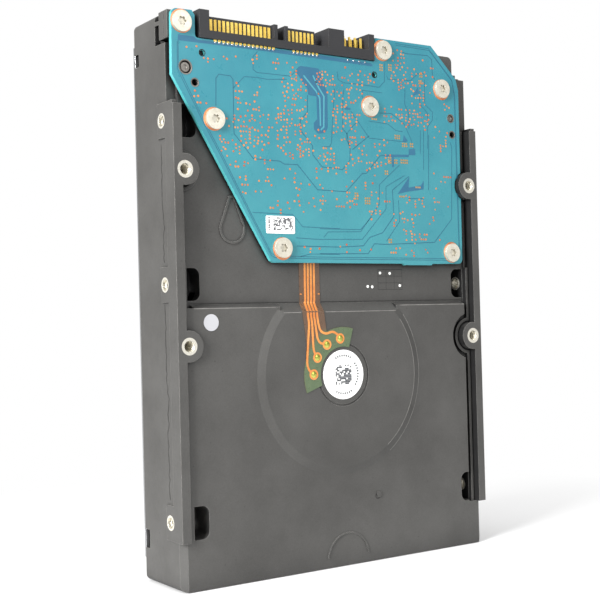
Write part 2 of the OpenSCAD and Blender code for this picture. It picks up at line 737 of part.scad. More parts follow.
module head_sliders() color([0.15, 0.15, 0.17]) stand() at_pivot(park_a) for (h = head_sides())
    on_arm_face(h[0], h[1], arm_t / 2 + susp_t, arm_t / 2 + susp_t + slider_t)
        rect(head_l - 0.62, -0.5, head_l + 0.62, 0.5);

module pivot_shaft() color([0.75, 0.75, 0.77]) stand() at_pivot() difference() {
    union() {
        rod(3, floor_d, tie_d);
        rod(1.5, 4.5, floor_d + eps);
    }
    rod(1.5, tie_d - 6, tie_d + 1);
}

module bearings() for (d = bearing_d) translate([0, 0, -d]) children();

module pivot_inner_races() color([0.72, 0.72, 0.74]) stand() at_pivot() bearings() difference() {
    tube(3.03, 3.9, 0, bearing_w);
    turned() translate([4.5, -bearing_w / 2]) circle(0.85);
}

module pivot_balls() color([0.85, 0.85, 0.87]) stand() at_pivot() bearings() for (i = [0:7])
    rotate(45 * i) translate([4.5, 0, -bearing_w / 2]) sphere(0.78, $fn = 32);

module pivot_outer_races() color([0.72, 0.72, 0.74]) stand() at_pivot() bearings() difference() {
    tube(5.1, sleeve_r - 0.03, 0, bearing_w);
    turned() translate([4.5, -bearing_w / 2]) circle(0.85);
}

module preamp_chip() color([0.1, 0.1, 0.1]) stand() at_pivot(park_a)
    translate([-5.6, -10.1, -17]) cube([4, 0.8, 6]);

// Ribbon on edge: it leaves the arm block and loops over to the bracket's wall
ribbon_d = [11.5, 16.5];
ribbon_r = 12;
ribbon_t = 0.15;
ribbon_a = park_a - 88;
loop_at = (9.05 + ribbon_t / 2 + ribbon_r) * [cos(ribbon_a), sin(ribbon_a)];
loop_end = [pivot_x + loop_at[0] - ribbon_r, pivot_y + loop_at[1]];

module actuator_flex() color([0.6, 0.42, 0.2]) stand() slab(ribbon_d[0], ribbon_d[1]) {
    at_pivot() translate(loop_at)
        sector(ribbon_r - ribbon_t / 2, ribbon_r + ribbon_t / 2, -180, ribbon_a - 180 + 0.1);
    translate(loop_end) rect(-ribbon_t / 2, -0.02, ribbon_t / 2, 3.5);
}

module flex_bracket() color([0.6, 0.61, 0.63]) stand() translate(loop_end - [ribbon_t / 2 + 0.05, 0]) {
    slab(floor_d, 11) rrect(-18, -6, 0, 4, 1);
    slab(floor_d, 18) rect(-1.6, -3, 0, 3.9);
}

// ---- voice coil motor ----

module yoke2d(g = 0) intersection() {
    at_pivot() difference() {
        circle(36);
        circle(12);
    }
    at_pivot() wedge(-17, 106, 60);
    union() {
        rect(4, 90, 41.2, lobby_l - 5.7);
        rrect(17, 90, 41.2, lobby_l - 0.8, 3.5);
    }
}

post_at = [[27.2, -5.5], [-3.5, 19.5], [21.5, 25.2]];

module yoke_plate(d0, d1) difference() {
    slab(d0, d1) yoke2d();
    for (p = post_at) at_pivot() translate(p) rod(1.1, 0, drive_h);
    translate(latch_pin_at) rod(1.12, 0, drive_h);
}

module lower_yoke() color([0.6, 0.61, 0.63]) stand() yoke_plate(yoke_d[0], yoke_d[1]);
module upper_yoke() color([0.6, 0.61, 0.63]) stand() yoke_plate(yoke_d[2], yoke_d[3]);

module magnet2d() at_pivot() sector(14, 26, 8, 74);

module lower_magnet() color([0.7, 0.71, 0.73]) stand()
    slab(yoke_d[1], yoke_d[1] + magnet_t) magnet2d();

module upper_magnet() color([0.7, 0.71, 0.73]) stand()
    slab(yoke_d[2] - magnet_t, yoke_d[2]) magnet2d();

module yoke_posts() color([0.72, 0.72, 0.74]) stand() at_pivot() for (p = post_at)
    translate(p) {
        rod(1.05, floor_d + 0.1, yoke_d[3] + eps);
        rod(2.2, yoke_d[1], yoke_d[2]);
        translate([0, 0, -yoke_d[3]]) screw_from_cover(1.9, 0.9, 1, 1);
    }

module crash_stops() color([0.16, 0.16, 0.17]) stand() {
    gap = asin((1.8 + clear) / 22);
    for (a = [park_a - 180 - frame_half - gap, park_a - 180 + frame_half + swing_a + gap])
        at_pivot(a) translate([22, 0, 0]) rod(1.8, yoke_d[1], yoke_d[2]);
}

// ---- ramp, latch and filter ----

ramp_half = arm_t / 2 - 0.08;

module ramp_column2d() rrect(-45.8, pivot_y - 24.5, -42.6, pivot_y - 14.2, 0.8);

module load_ramp() color([0.9, 0.88, 0.8]) stand() difference() {
    union() {
        slab(floor_d, arm_d[4] + ramp_half) ramp_column2d();
        for (d = arm_d) slab(d - ramp_half, d + ramp_half) intersection() {
            at_pivot() sector(head_l + 1.9, head_l + 5.7, park_a - 3.5, park_a + 7);
            cavity2d(-0.8);
        }
    }
    translate([-44.5, pivot_y - 17, 0]) rod(1.1, 0, drive_h);
    translate([-44.5, pivot_y - 17, 0]) rod(1.9, 9.5, drive_h);
}

module ramp_screw() color([0.6, 0.6, 0.6]) stand() translate([-44.5, pivot_y - 17, -9.5])
    screw_from_cover(1.7, 1, 1, 5.2);

hook_a = 13.9;
hook_r = 28.75;
latch_w = 1;

// Latch drawn engaged, then swung open about its pin
module actuator_latch() color([0.85, 0.83, 0.72]) stand() {
    tip = [pivot_x + hook_r * cos(hook_a), pivot_y + hook_r * sin(hook_a)] - latch_pin_at;
    l = norm(tip);
    translate(latch_pin_at) rotate([0, 0, latch_a]) rotate([0, 0, atan2(tip[1], tip[0])])
        slab(coil_d[0] + 0.2, coil_d[1] - 0.2) difference() {
            union() {
                circle(2.1);
                rect(0, -latch_w, l, latch_w * 0.9);
                translate([l, 0]) circle(0.9);
                rect(-3.6, -1.4, 0, 1.4);
            }
            circle(1.13);
        }
}

module latch_pin() color([0.72, 0.72, 0.74]) stand() translate(latch_pin_at) {
    rod(1.08, yoke_d[0] + 0.3, yoke_d[3] - 0.3);
    rod(1.8, yoke_d[1], coil_d[0]);
    rod(1.8, coil_d[1], yoke_d[2]);
}

module recirculation_filter() color([0.93, 0.93, 0.9]) stand() slab(floor_d, 20)
    rrect(35.4, 86.2, 41, 94.6, 1);

base_casting();
top_cover();
cover_gasket();
cover_screws();
tie_screws();
cover_label();
breather_filter();
circuit_board();
board_screws();
sata_housing();
sata_contacts();
jumper_pins();
controller_chip();
memory_chip();
motor_driver_chip();
board_components();
board_insulator();
head_connector();
motor_flex();
motor_flex_pads();
motor_label();
hole_seal();
spindle_shaft();
motor_stator();
motor_coils();
spindle_hub();
spindle_sleeve();
rotor_magnet();
platter_1();
platter_2();
platter_3();
platter_4();
platter_spacers();
platter_clamp();
clamp_screws();
arm_block();
voice_coil();
coil_holder();
suspensions();
head_sliders();
pivot_shaft();
pivot_inner_races();
pivot_balls();
pivot_outer_races();
preamp_chip();
actuator_flex();
flex_bracket();
lower_yoke();
upper_yoke();
lower_magnet();
upper_magnet();
yoke_posts();
load_ramp();
ramp_screw();
actuator_latch();
latch_pin();
crash_stops();
recirculation_filter();
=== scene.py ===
import math
import random

import bmesh
import bpy
from mathutils import Matrix, Vector


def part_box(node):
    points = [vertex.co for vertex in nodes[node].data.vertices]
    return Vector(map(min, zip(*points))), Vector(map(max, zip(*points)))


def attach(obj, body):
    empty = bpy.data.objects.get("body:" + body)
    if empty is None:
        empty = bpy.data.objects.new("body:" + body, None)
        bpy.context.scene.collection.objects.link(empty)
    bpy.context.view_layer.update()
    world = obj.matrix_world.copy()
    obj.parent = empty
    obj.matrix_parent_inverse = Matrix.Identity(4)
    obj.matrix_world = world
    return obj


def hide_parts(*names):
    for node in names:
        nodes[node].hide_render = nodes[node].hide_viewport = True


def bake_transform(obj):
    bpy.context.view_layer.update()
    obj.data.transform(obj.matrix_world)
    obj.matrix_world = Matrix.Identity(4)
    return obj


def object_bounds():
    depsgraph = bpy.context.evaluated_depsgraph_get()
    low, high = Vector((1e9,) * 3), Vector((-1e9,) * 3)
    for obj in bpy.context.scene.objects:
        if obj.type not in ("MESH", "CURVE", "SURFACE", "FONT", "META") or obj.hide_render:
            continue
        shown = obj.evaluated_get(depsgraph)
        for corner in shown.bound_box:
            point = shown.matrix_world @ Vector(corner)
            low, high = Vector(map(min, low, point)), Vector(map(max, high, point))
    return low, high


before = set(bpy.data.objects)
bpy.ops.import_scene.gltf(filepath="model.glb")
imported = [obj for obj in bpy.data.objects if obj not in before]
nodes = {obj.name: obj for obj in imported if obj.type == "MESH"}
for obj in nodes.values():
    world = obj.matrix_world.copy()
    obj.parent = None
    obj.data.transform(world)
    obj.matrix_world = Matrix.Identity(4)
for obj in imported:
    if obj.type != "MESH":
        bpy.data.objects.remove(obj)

cad_lo, cad_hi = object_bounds()
MM = 0.001

# Plan coordinates in mm: x across, z up from the end it stands on, d inwards from the mounting plane,
# and e the distance from the connector end, so z = TOP_Z - e.
FACE_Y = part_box("base_casting")[0].y
TOP_Z = cad_hi.z / MM
BOARD_D = (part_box("circuit_board")[0].y - FACE_Y) / MM
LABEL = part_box("motor_label")
SPIN_Z = (LABEL[0].z + LABEL[1].z) / 2 / MM
BOTTOM_HOLE_X = 47.625
BOTTOM_HOLES_Z = (105.72, 61.27)
SIDE_HOLES_Z = (118.5, 76.9, 16.9)
SIDE_HOLE_D = 6.35
HOLE_R = 1.42
SIDE_X = 50.4  # how far the side face lies from the middle
UPPER_D = 3.4  # depth of the floor under the board
DECK_D = 1.2  # depth of the deck about the motor
BOARD_SCREWS = [(-47.1, 3.8), (17.5, 4), (39, 13), (12.3, 20.5), (-38, 27.8), (-18.2, 60.6), (41.3, 61.2)]
# (x, e, radius)
BOARD_HOLES = [(-46.1, 15.2, 1.8), (42.4, 21.4, 1.15), (-43.5, 18.9, 1.05), (42.8, 26.2, 1.05)]
TOOLING_HOLES = [(-41.2, 11.1), (14.3, 11.2)]


def at(x, d, z):
    """Point in metres from plan coordinates."""
    return Vector((x * MM, FACE_Y + d * MM, z * MM))


def lin(r, g, b):
    """Linear colour from 0-255 display values."""
    out = []
    for v in (r, g, b):
        v /= 255
        out.append(v / 12.92 if v <= 0.04045 else ((v + 0.055) / 1.055) ** 2.4)
    return (*out, 1.0)


# ---- material helper ----

WAVE_UNIT = 0.314  # a wave texture of scale 1 repeats every 0.314 units


class Mat:
    """A Principled material built from procedural nodes, in object coordinates in mm."""

    def __init__(self, name, rough=0.5, metal=0.0, spec=0.5, coat=0.0):
        self.m = bpy.data.materials.new(name)
        self.m.use_nodes = True
        self.t = self.m.node_tree
        self.t.nodes.clear()
        out = self.t.nodes.new("ShaderNodeOutputMaterial")
        self.b = self.t.nodes.new("ShaderNodeBsdfPrincipled")
        self.t.links.new(self.b.outputs[0], out.inputs[0])
        self.b.inputs["Roughness"].default_value = rough
        self.b.inputs["Metallic"].default_value = metal
        self.b.inputs["Specular IOR Level"].default_value = spec
        if coat:
            self.b.inputs["Coat Weight"].default_value = coat
            self.b.inputs["Coat Roughness"].default_value = 0.12
        tc = self.t.nodes.new("ShaderNodeTexCoord")
        self.mm = self.vec("MULTIPLY", tc.outputs["Object"], (1 / MM,) * 3)

    def put(self, socket, value):
        """Link a node's output, or set a plain value on the socket itself."""
        if isinstance(value, bpy.types.NodeSocket):
            self.t.links.new(value, socket)
        else:
            socket.default_value = value

    def vec(self, op, a, b=None, out=0):
        n = self.t.nodes.new("ShaderNodeVectorMath")
        n.operation = op
        self.put(n.inputs[0], a)
        if b is not None:
            self.put(n.inputs[1], b)
        return n.outputs[out]

    def math(self, op, a, b=None, c=None, clamp=False):
        n = self.t.nodes.new("ShaderNodeMath")
        n.operation = op
        n.use_clamp = clamp
        for socket, v in zip(n.inputs, (a, b, c)):
            if v is not None:
                self.put(socket, v)
        return n.outputs[0]

    def sep(self, v):
        n = self.t.nodes.new("ShaderNodeSeparateXYZ")
        self.put(n.inputs[0], v)
        return n.outputs

    def combine(self, x, y, z):
        n = self.t.nodes.new("ShaderNodeCombineXYZ")
        for s, v in zip(n.inputs, (x, y, z)):
            self.put(s, v)
        return n.outputs[0]

    def noise(self, size, detail=3.0, rough=0.55, stretch=None, place=None):
        """Noise with features about size mm across."""
        p = place or self.mm
        if stretch:
            p = self.vec("MULTIPLY", p, stretch)
        n = self.t.nodes.new("ShaderNodeTexNoise")
        self.put(n.inputs["Vector"], p)
        n.inputs["Scale"].default_value = 1 / size
        n.inputs["Detail"].default_value = detail
        n.inputs["Roughness"].default_value = rough
        return n.outputs["Fac"]

    def cells(self, size, out="Distance"):
        """Cells about size mm across."""
        n = self.t.nodes.new("ShaderNodeTexVoronoi")
        self.put(n.inputs["Vector"], self.mm)
        n.inputs["Scale"].default_value = 1 / size
        return n.outputs[out]

    def wave(self, size, axis, distort=0.0):
        """Bands size mm apart."""
        n = self.t.nodes.new("ShaderNodeTexWave")
        n.bands_direction = axis
        self.put(n.inputs["Vector"], self.mm)
        n.inputs["Scale"].default_value = WAVE_UNIT / size
        n.inputs["Distortion"].default_value = distort
        return n.outputs["Fac"]

    def span(self, v, a, b, c=0.0, d=1.0):
        """v, taken from the range a to b onto c to d and held there beyond."""
        n = self.t.nodes.new("ShaderNodeMapRange")
        n.clamp = True
        for i, x in enumerate((v, a, b, c, d)):
            self.put(n.inputs[i], x)
        return n.outputs[0]

    def mix(self, fac, a, b):
        n = self.t.nodes.new("ShaderNodeMix")
        n.data_type = "RGBA"
        self.put(n.inputs["Factor"], fac)
        for i, v in ((6, a), (7, b)):  # the two colour sockets
            self.put(n.inputs[i], v)
        return n.outputs[2]

    def normal(self):
        """The face's own normal, before any bump."""
        return self.t.nodes.new("ShaderNodeNewGeometry").outputs["Normal"]

    def bevel(self, radius):
        """Normal that rounds edges over radius mm."""
        n = self.t.nodes.new("ShaderNodeBevel")
        n.samples = 4
        n.inputs["Radius"].default_value = radius * MM
        return n.outputs[0]

    def shade(self, reach):
        """1 in the open, towards 0 in corners narrower than reach mm."""
        n = self.t.nodes.new("ShaderNodeAmbientOcclusion")
        n.samples = 6
        n.inputs["Distance"].default_value = reach * MM
        return n.outputs["AO"]

    def bump(self, height, depth, base=None, strength=1.0):
        """Bump of depth mm from a 0-1 height."""
        n = self.t.nodes.new("ShaderNodeBump")
        n.inputs["Strength"].default_value = strength
        n.inputs["Distance"].default_value = depth * MM
        self.put(n.inputs["Height"], height)
        if base is not None:
            self.put(n.inputs["Normal"], base)
        return n.outputs[0]

    def set(self, **kw):
        names = {"color": "Base Color", "rough": "Roughness", "normal": "Normal", "metal": "Metallic"}
        for k, v in kw.items():
            self.put(self.b.inputs[names[k]], v)
        return self.m


def simple(name, dark, light, rough, metal=0.0, grain=0.4, depth=0.01, patch=8.0, edge=0.0, coat=0.0,
           stretch=None, spec=0.5):
    """Two tones in soft patches with fine speckle, grain bump and uneven gloss."""
    m = Mat(name, rough, metal, spec, coat)
    tone = m.math("ADD", m.math("MULTIPLY", m.noise(patch), 0.75), m.math("MULTIPLY", m.noise(grain), 0.25))
    fine = m.noise(grain, 4, 0.6, stretch)
    smear = m.noise(patch * 0.6, 5, 0.7)
    base = m.bevel(edge) if edge else None
    return m.set(
        color=m.mix(m.span(tone, 0.35, 0.65), dark, light),
        rough=m.span(smear, 0.3, 0.7, rough * 0.8, min(rough * 1.25, 1.0)),
        normal=m.bump(fine, depth, base),
    )


# ---- materials ----


def nearest(m, place, points):
    """Distance in mm from place to the nearest of the points."""
    best = None
    for point in points:
        dist = m.vec("DISTANCE", place, point, 1)
        best = dist if best is None else m.math("MINIMUM", best, dist)
    return best


def casting_material():
    """Satin electro-coat over die-cast metal, bare where holes and their seats are machined."""
    m = Mat("cast_coat_mat", 0.5, 0.0, 0.35)
    x, y, z = m.sep(m.mm)
    ax = m.math("ABSOLUTE", x)
    low = nearest(m, m.combine(ax, 0.0, z), [(BOTTOM_HOLE_X, 0, hz) for hz in BOTTOM_HOLES_Z])
    seat = m.math("MULTIPLY", m.span(low, 2.15, 2.25, 1, 0), m.span(y, -9.2, -8.8, 1, 0))
    side_y = FACE_Y / MM + SIDE_HOLE_D
    side = nearest(m, m.combine(0.0, y, z), [(0, side_y, hz) for hz in SIDE_HOLES_Z])
    rim = m.math("MULTIPLY", m.span(side, 1.88, 1.98, 1, 0), m.span(ax, 46, 46.6))
    bare = m.math("MAXIMUM", seat, rim)
    bare = m.span(m.math("ADD", bare, m.math("MULTIPLY", m.noise(0.35, 4), 0.25)), 0.35, 0.95)
    speck = m.noise(0.28, 3, 0.7)
    tone = m.math("ADD", m.math("MULTIPLY", m.noise(22, 4, 0.6), 0.6), m.math("MULTIPLY", speck, 0.4))
    coat = m.mix(m.span(tone, 0.36, 0.64), lin(66, 65, 63), lin(82, 81, 79))
    pits = m.span(m.cells(1.9), 0.0, 0.16, 1, 0)
    coat = m.mix(m.math("MULTIPLY", pits, m.span(m.noise(9), 0.5, 0.62)), coat, lin(56, 55, 53))
    # Painted highlight along edges, where the rounded normal leaves the flat one, partly also worn coat
    round_n = m.bevel(0.28)
    edge = m.span(m.vec("DOT_PRODUCT", round_n, m.normal(), 1), 0.97, 0.72)
    edge = m.math("MULTIPLY", edge, m.span(m.noise(2.5, 4), 0.3, 0.62, 0.25, 1.0))
    coat = m.mix(m.math("MULTIPLY", edge, 0.75), coat, lin(160, 158, 153))
    # Painted shade: near black in deep pockets, weaker lower down, and on the walls that face left inboard of
    # the left rail
    painted_pocket_shade = m.math("MULTIPLY", m.span(m.shade(9), 0.28, 0.88, 1, 0), m.span(z, 24, 60, 0.45, 1.0))
    nx = m.sep(m.normal())[0]
    painted_wall_shade = m.math("MULTIPLY", m.span(nx, -0.45, -0.8), m.span(x, -44, -42, 0, 0.9))
    coat = m.mix(m.math("MAXIMUM", painted_pocket_shade, painted_wall_shade), coat, lin(14, 14, 15))
    metal = m.mix(m.noise(0.5), lin(196, 192, 180), lin(230, 226, 214))
    height = m.math("ADD", m.math("MULTIPLY", speck, 0.7), m.math("MULTIPLY", m.noise(0.9, 3), 0.6))
    height = m.math("MULTIPLY", height, m.math("SUBTRACT", 1.0, bare))
    rough = m.span(m.noise(5, 5, 0.7), 0.3, 0.7, 0.44, 0.62)
    return m.set(
        color=m.mix(bare, coat, metal),
        rough=m.math("SUBTRACT", rough, m.math("MULTIPLY", bare, 0.26)),
        metal=m.math("MULTIPLY", bare, 0.5),
        normal=m.bump(height, 0.035, round_n),
    )


def board_material():
    """Teal solder mask over a woven laminate, with paler cut edges and faint copper pours."""
    m = Mat("board_mask_mat", 0.34, 0.0, 0.5, 0.15)
    x, y, z = m.sep(m.mm)
    weave = m.math("MULTIPLY", m.wave(0.55, "X", 0.3), m.wave(0.55, "Z", 0.3))
    top = m.mix(m.span(m.noise(16, 3), 0.35, 0.65), lin(44, 124, 140), lin(56, 137, 150))
    top = m.mix(m.span(z, 128, 78, 0.0, 0.45), top, lin(76, 150, 152))
    pour = m.sep(m.cells(11, out="Color"))[0]
    top = m.mix(m.math("MULTIPLY", pour, 0.16), top, lin(38, 112, 132))
    top = m.mix(m.math("MULTIPLY", m.noise(0.5, 4, 0.7), 0.16), top, lin(86, 170, 180))
    ny = m.math("ABSOLUTE", m.sep(m.normal())[1])
    side = m.span(ny, 0.9, 0.5)
    cut = m.mix(m.noise(0.4, 3, 0.6, (1, 8, 1)), lin(58, 158, 166), lin(104, 194, 192))
    height = m.math("ADD", m.math("MULTIPLY", weave, 0.35), m.math("MULTIPLY", m.noise(1.2, 3), 0.5))
    return m.set(
        color=m.mix(side, top, cut),
        rough=m.span(m.noise(3.5, 4), 0.3, 0.7, 0.24, 0.40),
        normal=m.bump(height, 0.012, m.bevel(0.12)),
    )


def trace_material(name, dark, light):
    """Mask over copper, in two soft tones."""
    m = Mat(name, 0.34, 0.0, 0.5, 0.2)
    return m.set(
        color=m.mix(m.noise(3.0, 3), dark, light),
        rough=m.span(m.noise(1.2, 3), 0.3, 0.7, 0.28, 0.42),
        normal=m.bump(m.noise(0.3, 3), 0.008),
    )


def cover_material():
    """Stamped aluminium with fine rolling lines and handling marks."""
    m = Mat("cover_alloy_mat", 0.36, 1.0)
    lines = m.noise(0.9, 4, 0.7, (1, 1, 0.04))
    marks = m.span(m.noise(14, 6, 0.75, (1, 1, 0.4)), 0.45, 0.7)
    tone = m.mix(lines, lin(168, 169, 171), lin(196, 197, 198))
    return m.set(
        color=m.mix(m.math("MULTIPLY", marks, 0.35), tone, lin(150, 151, 154)),
        rough=m.math("ADD", m.span(lines, 0.3, 0.7, 0.27, 0.4), m.math("MULTIPLY", marks, 0.12)),
        normal=m.bump(lines, 0.012, m.bevel(0.3)),
    )


def metal_material(name, dark, light, rough, edge=0.0, grain=0.35, spots=0.35, painted_shade_reach=0.0, metal=1.0):
    """Plated or machined metal with smears, darker specks and painted shade in its recesses."""
    m = Mat(name, rough, metal)
    fine = m.noise(grain, 4, 0.65)
    smear = m.noise(1.8, 4, 0.7)
    specks = m.span(m.noise(0.22, 4, 0.8), 0.62, 0.78)
    color = m.mix(m.span(smear, 0.35, 0.65), dark, light)
    color = m.mix(m.math("MULTIPLY", specks, spots), color, tuple(c * 0.5 for c in dark[:3]) + (1,))
    # Painted shade: brownish dark in recesses narrower than the given reach
    if painted_shade_reach:
        color = m.mix(m.span(m.shade(painted_shade_reach), 0.1, 0.6), lin(70, 64, 56), color)
    return m.set(
        color=color,
        rough=m.span(fine, 0.3, 0.7, rough * 0.75, rough * 1.3),
        normal=m.bump(fine, 0.004, m.bevel(edge) if edge else None),
    )


def turned_metal(name, cx, cz, dark, light, rough, step=0.5):
    """Metal turned about an axis along Y through (cx, cz) mm: rings in colour, gloss and bump."""
    m = Mat(name, rough, 1.0)
    x, y, z = m.sep(m.mm)
    r = m.vec("DISTANCE", m.combine(x, 0.0, z), (cx, 0, cz), 1)
    ring = m.noise(step, 3, 0.6, None, m.combine(r, 0.0, 0.0))
    haze = m.math("MULTIPLY", m.noise(9, 4, 0.6), 0.03)
    return m.set(
        color=m.mix(ring, dark, light),
        rough=m.math("ADD", m.span(ring, 0.3, 0.7, rough * 0.8, rough * 1.2), haze),
        normal=m.bump(ring, 0.003),
    )


def plug_material():
    """Black moulded plastic with flow marks."""
    m = Mat("plug_black_mat", 0.5, 0.0, 0.4)
    fine = m.noise(0.25, 4, 0.7)
    flow = m.noise(6, 3, 0.6, (0.3, 1, 1))
    return m.set(
        color=m.mix(m.math("ADD", m.math("MULTIPLY", fine, 0.4), m.math("MULTIPLY", flow, 0.6)),
                    lin(32, 32, 34), lin(54, 54, 56)),
        rough=m.span(fine, 0.3, 0.7, 0.40, 0.58),
        normal=m.bump(fine, 0.015, m.bevel(0.15)),
    )


def flex_material():
    """Polyimide film: amber over the ribbon, greener varnish about the solder pads."""
    m = Mat("flex_film_mat", 0.3, 0.0, 0.5, 0.3)
    x, y, z = m.sep(m.mm)
    r = m.vec("DISTANCE", m.combine(x, 0.0, z), (0, 0, SPIN_Z), 1)
    head = m.span(r, 14.2, 12.6)
    amber = m.mix(m.noise(4, 3), lin(86, 66, 52), lin(108, 82, 62))
    green = m.mix(m.noise(2.2, 4), lin(74, 92, 66), lin(96, 112, 80))
    return m.set(
        color=m.mix(head, amber, green),
        rough=m.span(m.noise(1.5, 3), 0.3, 0.7, 0.22, 0.40),
        normal=m.bump(m.noise(2.5, 3), 0.03),
    )


def paper_material(name, a, b):
    """Fibrous label stock."""
    m = Mat(name, 0.55, 0.0, 0.35)
    fibre = m.noise(0.18, 5, 0.7)
    return m.set(
        color=m.mix(m.math("ADD", m.math("MULTIPLY", fibre, 0.5), m.math("MULTIPLY", m.noise(6), 0.5)), a, b),
        rough=m.span(fibre, 0.3, 0.7, 0.48, 0.66),
        normal=m.bump(fibre, 0.01),
    )


M = {
    "cast": casting_material(),
    "cover": cover_material(),
    "rubber": simple("rubber_seal_mat", lin(28, 28, 30), lin(44, 44, 46), 0.75, grain=0.3, depth=0.02),
    "screw": metal_material("screw_silver_mat", lin(220, 214, 196), lin(240, 235, 220), 0.36, edge=0.12,
                            spots=0.12, painted_shade_reach=1.6, metal=0.7),
    "label": paper_material("label_white_mat", lin(238, 238, 236), lin(250, 250, 249)),
    "foil": paper_material("seal_foil_mat", lin(176, 176, 180), lin(194, 194, 198)),
    "felt": simple("filter_felt_mat", lin(214, 213, 205), lin(238, 238, 232), 0.9, grain=0.15, depth=0.05),
    "board": board_material(),
    "trace": trace_material("mask_trace_mat", lin(28, 88, 110), lin(38, 102, 124)),
    "trace_pale": trace_material("mask_pale_mat", lin(70, 150, 164), lin(82, 160, 172)),
    "pour": trace_material("mask_pour_mat", lin(38, 96, 126), lin(48, 108, 136)),
    "copper": metal_material("bare_copper_mat", lin(226, 142, 100), lin(240, 168, 124), 0.4, grain=0.2,
                             spots=0.1),
    "tinned": metal_material("tinned_pad_mat", lin(212, 160, 96), lin(232, 190, 130), 0.42, grain=0.2,
                             spots=0.1),
    "via": simple("via_copper_mat", lin(186, 80, 52), lin(232, 156, 84), 0.45, 0.3, grain=0.5, depth=0.01,
                  patch=1.6),
    "plug": plug_material(),
    "gold": metal_material("contact_gold_mat", lin(236, 196, 84), lin(252, 222, 116), 0.32, spots=0.06,
                           metal=0.55),
    "chip": simple("chip_black_mat", lin(26, 26, 28), lin(40, 40, 42), 0.55, grain=0.2, depth=0.02, edge=0.1),
    "tan": simple("part_tan_mat", lin(150, 132, 104), lin(176, 158, 126), 0.45, grain=0.3, patch=1.5,
                  edge=0.1),
    "foam": simple("foam_grey_mat", lin(44, 44, 47), lin(62, 62, 64), 0.9, grain=0.35, depth=0.08),
    "film": flex_material(),
    "track": simple("flex_track_mat", lin(214, 128, 62), lin(240, 160, 84), 0.3, 0.25, grain=0.5, patch=5,
                    depth=0.01, coat=0.4),
    "solder": metal_material("solder_mat", lin(178, 182, 84), lin(222, 222, 120), 0.26, grain=0.25,
                             spots=0.1),
    "steel": metal_material("steel_mat", lin(176, 178, 182), lin(206, 208, 210), 0.26, edge=0.12),
    "bright": metal_material("bright_zinc_mat", lin(178, 178, 180), lin(206, 206, 208), 0.3, edge=0.12,
                             spots=0.2, painted_shade_reach=1.6),
    "dull": metal_material("dull_tin_mat", lin(120, 116, 112), lin(150, 146, 140), 0.45, edge=0.06,
                           grain=0.2),
    "bronze": metal_material("bronze_mat", lin(168, 128, 72), lin(196, 156, 96), 0.34, edge=0.1),
    "wire": simple("copper_wire_mat", lin(176, 92, 44), lin(214, 124, 66), 0.32, 0.9, grain=0.22, depth=0.04,
                   patch=2.0),
    "hub": turned_metal("hub_alloy_mat", 0, SPIN_Z, lin(186, 188, 192), lin(214, 216, 218), 0.24),
    "platter": turned_metal("platter_mirror_mat", 0, SPIN_Z, lin(206, 207, 210), lin(222, 223, 226), 0.045,
                            1.4),
    "magnet": metal_material("magnet_nickel_mat", lin(168, 170, 174), lin(196, 198, 202), 0.2, edge=0.2),
    "ivory": simple("ivory_plastic_mat", lin(214, 206, 180), lin(230, 224, 202), 0.45, grain=0.3, edge=0.12),
    "alloy": metal_material("arm_alloy_mat", lin(182, 184, 188), lin(208, 210, 212), 0.3, edge=0.15),
    # Painted shade for the inside of holes
    "hole_shade": simple("painted_hole_shade_mat", lin(14, 12, 11), lin(26, 22, 20), 0.7, grain=0.2),
    "ink": simple("print_grey_mat", lin(66, 67, 70), lin(92, 94, 98), 0.6, grain=0.2, patch=1.2),
    # Painted highlight for the ring's and the step's edges
    "edge_highlight": simple("painted_edge_highlight_mat", lin(104, 102, 99), lin(136, 134, 130), 0.45, grain=0.25, patch=2.5),
    "paint": simple("paint_white_mat", lin(236, 236, 232), lin(250, 250, 246), 0.6, grain=0.2, patch=1.0),
    # Dark marks on the casting, also used for a painted shadow at the step's foot
    "groove": simple("dark_mark_and_shadow_mat", lin(34, 33, 32), lin(48, 47, 45), 0.6, grain=0.25, patch=2.0),
}

NODE_MATERIAL = {
    "base_casting": "cast", "top_cover": "cover", "cover_gasket": "rubber", "cover_screws": "bright",
    "tie_screws": "bright", "cover_label": "label", "breather_filter": "felt", "circuit_board": "board",
    "board_screws": "screw", "sata_housing": "plug", "sata_contacts": "gold", "jumper_pins": "gold",
    "controller_chip": "chip", "memory_chip": "chip", "motor_driver_chip": "chip", "board_components": "tan",
    "board_insulator": "foam", "head_connector": "plug", "motor_flex": "film", "motor_flex_pads": "solder",
    "motor_label": "label", "hole_seal": "foil", "spindle_shaft": "steel", "motor_stator": "steel",
    "motor_coils": "wire", "spindle_hub": "hub", "spindle_sleeve": "bronze", "rotor_magnet": "magnet",
    "platter_spacers": "hub", "platter_clamp": "hub", "clamp_screws": "steel", "arm_block": "alloy",
    "voice_coil": "wire", "coil_holder": "ivory", "suspensions": "steel", "head_sliders": "chip",
    "pivot_shaft": "steel", "pivot_inner_races": "steel", "pivot_balls": "steel",
    "pivot_outer_races": "steel", "preamp_chip": "chip", "actuator_flex": "track", "flex_bracket": "alloy",
    "lower_yoke": "magnet", "upper_yoke": "magnet", "lower_magnet": "magnet", "upper_magnet": "magnet",
    "yoke_posts": "steel", "load_ramp": "ivory", "ramp_screw": "screw", "actuator_latch": "ivory",
    "latch_pin": "steel", "crash_stops": "rubber", "recirculation_filter": "felt",
}
NODE_MATERIAL.update({f"platter_{i}": "platter" for i in range(1, 5)})
for name, node in nodes.items():
    node.data.materials.clear()
    node.data.materials.append(M[NODE_MATERIAL[name]])


# ---- detail pieces ----


